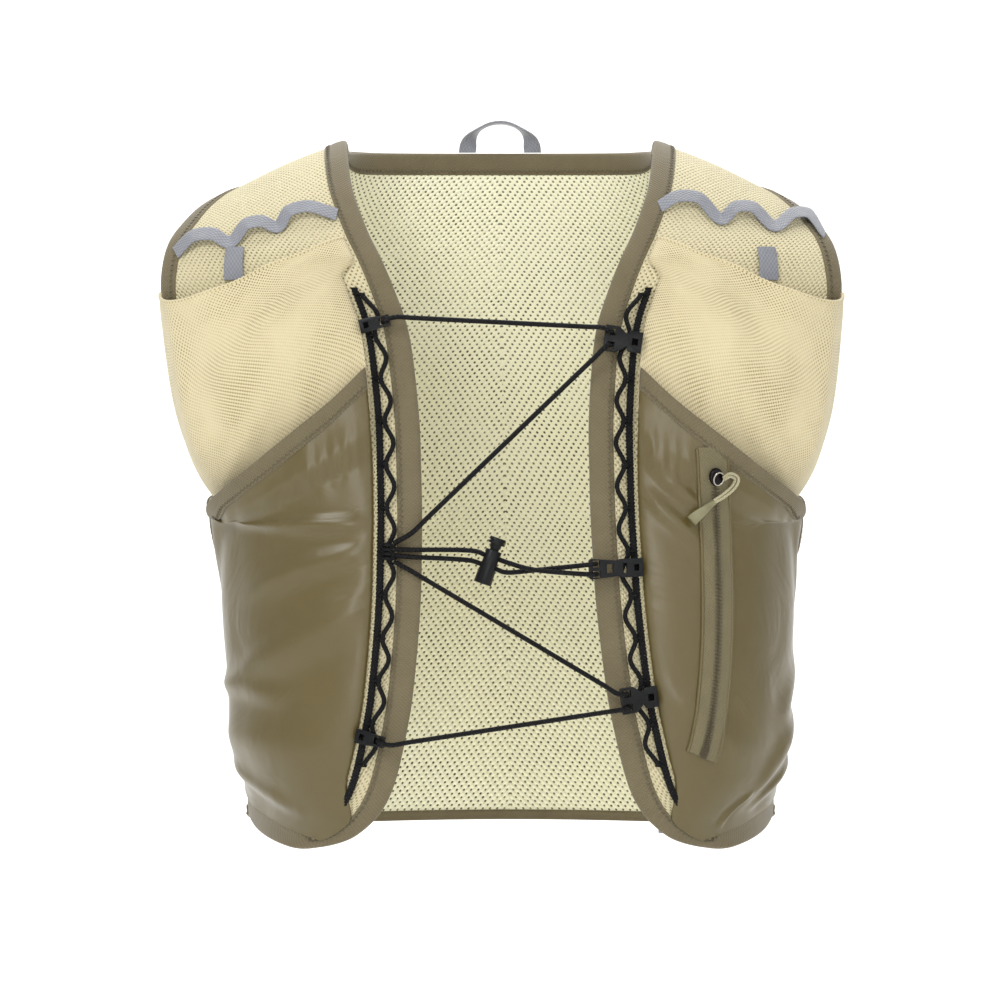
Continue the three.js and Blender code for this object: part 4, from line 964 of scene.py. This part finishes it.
plastic = (plasticLook, "black_plastic")
for node in ("lace_slider_top", "lace_slider_bottom", "lace_buckle", "lace_hook_top", "lace_hook_bottom"):
    roundedCopy(node, node.replace("lace_", "moulded_"), 0.00035, *plastic)
roundedCopy("cord_lock_barrel", "lock_barrel", 0.0004, *plastic)
roundedCopy("cord_lock_button", "lock_button_cap", 0.00035, *plastic, "lock_button")

# Lacing: one braided elastic cord in its visible runs
lacing = {
    "diameter": 2.6,
    "lift": 6.9,
    "clipWall": 2.2,
    "topLeft": -0.275,
    "topRight": -0.297,
    "middleRight": -0.602,
    "bottomLeft": -0.832,
    "bottomRight": -0.778,
    "sliderSlot": (12.8, 3.6),
    "hookSlot": 8.9,
    "hookTail": 12.6,
    "buckleSlot": (21.6, 2.7),
    "lockLean": 0.34,
    "lockPitch": 5.2,
    "lockDrop": 6.2,
}


def frameAt(height):
    t = rowAtHeight(height, rail["fromEdge"])
    origin = onFront(rail["fromEdge"], t, 0.0)
    above, below = (onFront(rail["fromEdge"], t + step, 0.0) for step in (0.05, -0.05))
    up = unit(above - below)
    across = np.cross(unit(onFront(rail["fromEdge"], t, 1.0) - origin), up)
    return origin, up, across, np.cross(up, across)


def fromFrame(at, a, b, c):
    origin, up, across, off = at
    return origin + across * a + up * b + off * c


under = lacing["lift"] - lacing["diameter"] / 2 - 0.4
over = lacing["lift"] + lacing["clipWall"] + lacing["diameter"] / 2 + 0.4
middle = lacing["lift"] + lacing["clipWall"] / 2
flip = np.array([-1, 1, 1])


def threaded(at):
    # Over the upper bar, down through its window, under the middle bar and up through the lower window
    x, y = lacing["sliderSlot"]
    steps = [(5.4, y + 1, over), (1.6, y + 0.2, over), (0, y, middle), (-0.4, y / 2, under)]
    steps += [(-0.4, -y / 2, under), (0, -y, middle), (1.6, -y - 0.2, over)]
    return [fromFrame(at, x + a, b, c) for a, b, c in steps]


def hooked(at):
    x = lacing["hookSlot"]
    steps = [(x, 0, under), (x, 0, middle), (x + 1.8, 0, over), (lacing["hookTail"] + 4, 0, over)]
    return [fromFrame(at, *step) * flip for step in steps]


nodeRow = rowAtHeight(rail["node"], rail["fromEdge"])


def nodeAt(fromEdge, rise, out):
    return onFront(fromEdge, nodeRow, out) * flip + np.array([0, 0, rise])


laceOver = vest["meshWall"] + 1.5 + lacing["diameter"] / 2 + 0.8
node = rail["fromEdge"] - 5.4
lockHeight = rail["node"] * vest["height"] - lacing["lockDrop"]
lockCentre = np.array([-9.0, frontPoint(0.0, nodeRow)[1] - laceOver, lockHeight])
lockAxis = np.array([math.sin(lacing["lockLean"]), 0, math.cos(lacing["lockLean"])])
lockAcross = np.array([math.cos(lacing["lockLean"]), 0, -math.sin(lacing["lockLean"])])
crossing = lockCentre + lockAcross * 21 + lockAxis * 4 - np.array([0, 0, 1.0])


def middleRun(rise, w, toFront, sign):
    x, y = lacing["buckleSlot"]
    at = frameAt(lacing["middleRight"])
    run = [nodeAt(node - 1.6, rise, laceOver + 0.4), nodeAt(3, rise * 1.2, laceOver + 0.5)]
    for along, share in ((-9, 1.02), (-4, 1), (4, 1), (9, 1)):
        run.append(lockCentre + lockAcross * along + lockAxis * w * share)
    run.append(crossing + np.array([0, toFront * 1.6, w * 0.15]))
    steps = [(4.5, sign * (y - 0.2), over), (1.6, sign * y, over)]
    steps += [(0, sign * y, middle), (-0.6, sign * y, under)]
    return run + [fromFrame(at, x + a, b, c) for a, b, c in steps]


upper = hooked(frameAt(lacing["topLeft"])) + threaded(frameAt(lacing["topRight"]))
upper += [nodeAt(3, 9, laceOver + 0.6), nodeAt(node - 1.6, 3.4, laceOver + 0.4)]
lower = [nodeAt(node - 1.6, -6, laceOver + 0.4), nodeAt(3, -11, laceOver + 0.6)]
lower += threaded(frameAt(lacing["bottomRight"])) + hooked(frameAt(lacing["bottomLeft"]))[::-1]
runs = {
    "lace_upper": upper,
    "lace_lower": lower,
    "lace_middle_front": middleRun(0.3, lacing["lockPitch"] / 2, -1, -1),
    "lace_middle_back": middleRun(-2.8, -lacing["lockPitch"] / 2, 1, 1),
}
for solid, run in runs.items():
    pulled = [run[0]]
    for a, b in zip(run, run[1:]):
        # A long free run is straight, as the elastic is under tension
        if np.linalg.norm(b - a) > 60:
            pulled += [lerp(a, b, f) for f in (0.08, 0.5, 0.92)]
        pulled.append(b)
    path = resample(smoothCurve(pulled, 20), 0.7)
    skin("braided_" + solid, cordRings(path, lacing["diameter"] / 2, 12), *braid, [solid])
angle = circle(40)
for k, rise in enumerate((3.4, 0.3, -2.8, -6.0)):
    # Each run ends in an eye round the wavy cord
    eye = onFront(node + 0.6 + 2.7 * np.cos(angle), nodeRow, 6.0 + 2.4 * np.sin(angle))
    eye = eye * flip + np.array([0, 0, rise * 0.75])
    skin("lace_eye_" + str(k), cordRings(eye, 1.0, 8), *braid, (), closed=True)
print("lacing made")

# Grey reflective tape in waves over the shoulder, tabs in the pocket mouths, haul loop and hem tab
greyTape = {
    "width": 6.6,
    "wall": 0.9,
    "bulge": 3.2,
    # x and z of the tape's middle, and 1 where it is tacked down
    -1: [(86, -46, 1), (101, -43.4, 0), (111, -46, 0), (117.5, -52.4, 1), (125.5, -51.5, 0), (133.5, -53, 0),
         (142.6, -60.4, 1), (151.7, -58, 0), (161.8, -58.8, 0), (172, -65, 1)],
    1: [(84, -41.5, 1), (93, -38, 0), (104, -38.5, 0), (117, -48, 1), (124, -43.5, 0), (133, -43.2, 0),
        (145.8, -51.2, 1), (155.4, -46, 0), (164, -45.4, 0), (174, -55, 1)],
}


def shoulderRow(s, z):
    return solve(lambda t: frontPoint(s, t)[..., 2], topRows[1] - 1.5, frontRows - 1, z)


def onShoulder(x, z, out):
    # The share across and the row at which the front has this x and z, found in turns
    x, z = np.broadcast_arrays(np.asarray(x, float), np.asarray(z, float))
    s = np.full(x.shape, 0.5)
    for _ in range(7):
        t = shoulderRow(s, z)
        s = solve(lambda k, t=t: frontPoint(k, t)[..., 0], 0.0, 1.0, x)
    return frontOff(s, shoulderRow(s, z), out)


webbing = (webbingLook, "grey_webbing")
a, c = oval(12, 0.4)
greyRings = {}
for side in (-1, 1):
    points = np.array(greyTape[side], float)
    line = smoothCurve(points, 16)
    heading = unit(np.gradient(line[:, :2], axis=0))
    lift = vest["meshWall"] + 0.8 + greyTape["bulge"] * (1 - np.clip(line[:, 2:], 0, 1))
    wide = a * greyTape["width"] / 2
    x, z = line[:, :1] - heading[:, 1:] * wide, line[:, 1:2] + heading[:, :1] * wide
    greyRings[side] = onShoulder(x, z, lift + greyTape["wall"] / 2 * (1 + c))
share = np.linspace(0, 1, 40)[:, None]
s, z = np.broadcast_arrays(lerp(0.5, 0.585, (a + 1) / 2), lerp(-80.0, -64.0, share))
tabRings = frontOff(s, shoulderRow(s, z), vest["meshWall"] + 0.8 + 0.75 * (1 + c) * (1 + 0.5 * share**4))
for side, word in bothSides:
    skin("reflective_tape_" + word, greyRings[side], *webbing, ["grey_tape_" + word], side)
    skin("reflective_tab_" + word, tabRings, *webbing, ["grey_tab_" + word], side)

haul = {"reach": 19.0, "rise": 17.5, "width": 10.0, "wall": 1.6, "foot": 7.6}
angle = np.linspace(0, np.pi, 120)
haulY = neckBack["y"] * vest["halfDepth"] + vest["seamGap"] + backWall / 2
haulZ = haul["foot"] + haul["rise"] * np.sin(angle)
centre = np.stack([haul["reach"] * np.cos(angle), haulY + 0 * angle, haulZ], -1)
tangent = unit(np.stack([-haul["reach"] * np.sin(angle), 0 * angle, haul["rise"] * np.cos(angle)], -1))
inPlane = np.cross(tangent, np.array([0, 1.0, 0]))
twist = (np.pi / 2 * smooth(1.15 * np.sin(angle)))[:, None]
wide = inPlane * np.cos(twist) + np.array([0, 1.0, 0]) * np.sin(twist)
thin = np.cross(tangent, wide)
a, c = oval(14, 0.4)
haulRings = centre[:, None] + wide[:, None] * (a * haul["width"] / 2)[:, None]
haulRings = haulRings + thin[:, None] * (c * haul["wall"] / 2)[:, None]
skin("haul_webbing", haulRings, *webbing, ["haul_loop"])
roundedCopy("hem_tab", "hem_tab_webbing", 0.0004, *webbing)
print("webbing made")

# Zip on the picture's right pocket
zipLine = np.array([
    [0.597, -0.43], [0.6, -0.46], [0.604, -0.52], [0.606, -0.58], [0.606, -0.65],
    [0.6, -0.72], [0.585, -0.79], [0.563, -0.845], [0.55, -0.862],
])
zipper = {
    "tape": 15.0,
    "tapeWall": 0.7,
    "tooth": 1.5,
    "length": 140.0,
    "seat": 0.3,
    "slider": 0.173,
}


def onPocket(x, z, out):
    # Newton's steps on the pocket's surface until its x and z are the wanted ones
    x, z, out = np.broadcast_arrays(*(np.asarray(v, float) for v in (x, z, out)))
    u, v, e = np.full(x.shape, 0.4), np.full(x.shape, 0.6), 0.004
    level = np.full(x.shape, pocket["wall"])
    for _ in range(10):
        p = lowerSurface(u, v, level, 1)
        du, dv = (lowerSurface(u + e, v, level, 1) - p) / e, (lowerSurface(u, v + e, level, 1) - p) / e
        fault = du[..., 0] * dv[..., 2] - du[..., 2] * dv[..., 0]
        missX, missZ = x - p[..., 0], z - p[..., 2]
        u = np.clip(u + (missX * dv[..., 2] - missZ * dv[..., 0]) / fault, 0.01, 0.99)
        v = np.clip(v + (missZ * du[..., 0] - missX * du[..., 2]) / fault, 0.01, 0.99)
    return lowerSurface(u, v, pocket["wall"] + out, 1)


def zipAt(share, a, out):
    share = np.asarray(share, float)
    size = np.array([vest["halfWidth"], vest["height"]])
    at = lambda k: rowAt(zipLine, np.clip(k, 0, 1) * (len(zipLine) - 1)) * size
    along = unit(at(share + 0.02) - at(share - 0.02))
    p = at(share)
    return onPocket(p[..., 0] - along[..., 1] * a, p[..., 1] + along[..., 0] * a, out)


share = np.linspace(0.05, 0.99, 150)[:, None]
a, c = oval(24, 0.4)
lips = 0.5 * np.exp(-(((np.abs(a) - 0.36) / 0.1) ** 2))
zipOut = zipper["seat"] + zipper["tapeWall"] / 2 * (1 + c) + lips * (c > 0)
zipRings = zipAt(share + 0 * a, a * zipper["tape"] / 2 + 0 * share, zipOut)
skin("zip_woven_tape", zipRings, zipTapeLook, "zip_tape_cloth", ["zip_tape"])
count = int(zipper["length"] / zipper["tooth"])
welt = np.linspace(0.06, 0.995, 120)
for word, sign in (("inner", -1), ("outer", 1)):
    edge = zipAt(welt, sign * (zipper["tape"] / 2 + 0.5) + 0 * welt, 0.45 + 0 * welt)
    skin("zip_welt_" + word, cordRings(edge, 0.95, 10), nylonLook, "woven_nylon")
share = np.linspace(0.165, 0.985, count)
middleLine = zipAt(share, 0.0 * share, zipper["seat"] + zipper["tapeWall"] + 0.7)
along = unit(np.gradient(middleLine, axis=0))
rightOf, leftOf = (zipAt(share, a + 0 * share, 1.0 + 0 * share) for a in (0.5, -0.5))
sidewards = unit(rightOf - leftOf)
raised = np.cross(along, sidewards)
a, c = oval(6, 0.8)
for k, sign in enumerate((-1, 1)):
    # One side's teeth: short bars across the line, tapered to their ends, half a step from the other side's
    ends = np.array([-0.6, -0.2, 1.6, 2.2])
    size = np.array([0.5, 0.75, 0.7, 0.35])
    shift = (k * 0.5 - 0.25) * zipper["tooth"]
    bars = middleLine[:, None, None] + sidewards[:, None, None] * (sign * ends)[:, None, None]
    bars = bars + along[:, None, None] * (shift + 0.42 * a * size[:, None])[..., None]
    bars = bars + raised[:, None, None] * (0.75 * c * size[:, None])[..., None]
    sides, caps = skinFaces(4, 6, False)
    faces = np.concatenate([sides, caps])
    quads = (faces[None] + (np.arange(count) * 24)[:, None, None]).reshape(-1, 4)
    points = place(bars.reshape(-1, 3), 1)
    p = points[faces]
    normals = np.cross(p[:, 1] - p[:, 0], p[:, 2] - p[:, 0])
    turned = np.einsum("ij,ij->i", p[:, 0] - points[:24].mean(0), normals).sum() < 0
    quads = quads[:, ::-1] if turned else quads
    uv = np.zeros((len(quads), 4, 2))
    nodes = ["zip_coil"] if k == 0 else []
    newPiece("zip_teeth_" + str(k), points, quads, uv, toothLook, nodes, 30)
roundedCopy("zip_slider", "zip_slider_body", 0.0007, metalLook, "dark_metal")
slider, above = (zipAt(zipper["slider"], 0.0, out) for out in (3.3, 7.3))
outwards = unit(above - slider)
downwards = unit(zipAt(zipper["slider"] + 0.04, 0.0, 3.3) - slider)
rightwards = np.cross(outwards, downwards)
angle = circle(48)[:, None]
ring = slider + outwards * (2.6 + 0.5 * np.sin(angle)) + rightwards * 3.1 * np.cos(angle)
ring = ring - downwards * 3.6 * np.sin(angle)
skin("zip_pull_ring", cordRings(ring, 0.45, 8), wireLook, "dark_metal", (), closed=True)
pullSteps = [(1, 0.6, 4.6), (5, 2.4, 3.6), (8.6, 0.4, 2.8), (7, -3.4, 2.8)]
pullSteps += [(1, -8.4, 3.6), (-3.4, -11.4, 3.2)]
pull = smoothCurve([onPocket(slider[0] + x, slider[2] + z, 1.9 + out) for x, z, out in pullSteps], 14)
for k, shift in enumerate((-0.62, 0.62)):
    across = unit(np.cross(np.gradient(pull, axis=0), np.array([0, -1.0, 0])))
    strand = pull + across * shift * (1 + 0.5 * np.sin(np.linspace(0, np.pi, len(pull))))[:, None]
    nodes = ["zip_pull_cord"] if k == 0 else []
    skin("zip_pull_strand_" + str(k), cordRings(strand, 0.75, 8), pullCordLook, "pull_cord", nodes)
endSteps = np.array([
    # x and z from the slider, how far out, and the width
    (-3.4, -11.8, 2.9, 2.6), (-5.5, -13.4, 2.6, 3.2), (-8.5, -16.0, 2.2, 4.2),
    (-12, -19, 2.0, 5.4), (-15.2, -21.8, 2.0, 5.8),
])
steps = rowAt(endSteps, np.linspace(0, 4, 40))
a, c = oval(16, 0.6)
x = slider[0] + steps[:, :1] - 0.66 * a * steps[:, 3:] / 2
z = slider[2] + steps[:, 1:2] + 0.75 * a * steps[:, 3:] / 2
endRings = onPocket(x, z, 1.9 + steps[:, 2:3] + 1.0 * c)
skin("zip_pull_moulded_end", endRings, gelLook, "pull_cord", ["zip_pull_end"])
print("zip made")

# Stage: a seamless pale sweep, and soft studio light
bend = np.linspace(0.08, np.pi / 2, 20)
sweepY = np.concatenate([np.linspace(-3.0, 1.0, 20), 1.0 + 0.8 * np.sin(bend), np.full(12, 1.8)])
sweepZ = np.concatenate([np.full(20, -0.62), 0.18 - 0.8 * np.cos(bend), np.linspace(0.3, 3.2, 12)])
sweepX = np.linspace(-3.2, 3.2, 12)
sweep = np.stack(np.broadcast_arrays(sweepX, sweepY[:, None], sweepZ[:, None]), -1)
k, i = np.arange(51)[:, None] * 12, np.arange(11)[None, :]
quads = np.stack([k + i, k + i + 1, k + i + 13, k + i + 12], -1).reshape(-1, 4)
floorMesh = bpy.data.meshes.new("sweep")
floorMesh.from_pydata(sweep.reshape(-1, 3).tolist(), [], quads.tolist())
floorMesh.polygons.foreach_set("use_smooth", np.ones(len(quads), bool))
paperTones = {"roughness": 0.95, "dark": "#F4F4F2", "light": "#F8F8F6", "grain": 3.0}
paper = mouldedFinish("background paper, white", paperTones)
floorMesh.materials.append(paper)
floor = addObject("sweep", floorMesh)
world = bpy.data.worlds.new("studio")
world.use_nodes = True
world.node_tree.nodes["Background"].inputs[0].default_value = (1, 1, 1, 1)
world.node_tree.nodes["Background"].inputs[1].default_value = 0.6
bpy.context.scene.world = world
for name, spot, turn, size, power in (
    ("key", (-0.9, -1.5, 1.1), (0.95, 0.0, -0.55), 0.8, 15.0),
    ("fill", (1.1, -1.6, 0.3), (1.35, 0.0, 0.6), 1.4, 5.0),
    ("front", (0.0, -2.4, -0.1), (math.pi / 2, 0.0, 0.0), 0.8, 9.0),
    ("back wash", (0.0, 0.75, 1.9), (0.85, 0.0, 0.0), 2.0, 60.0),
):
    light = bpy.data.lights.new(name, "AREA")
    light.size = size
    light.energy = power
    lamp = addObject(name, light)
    lamp.location = spot
    lamp.rotation_euler = turn
bpy.context.scene.view_settings.view_transform = "Standard"
print("stage and light made")
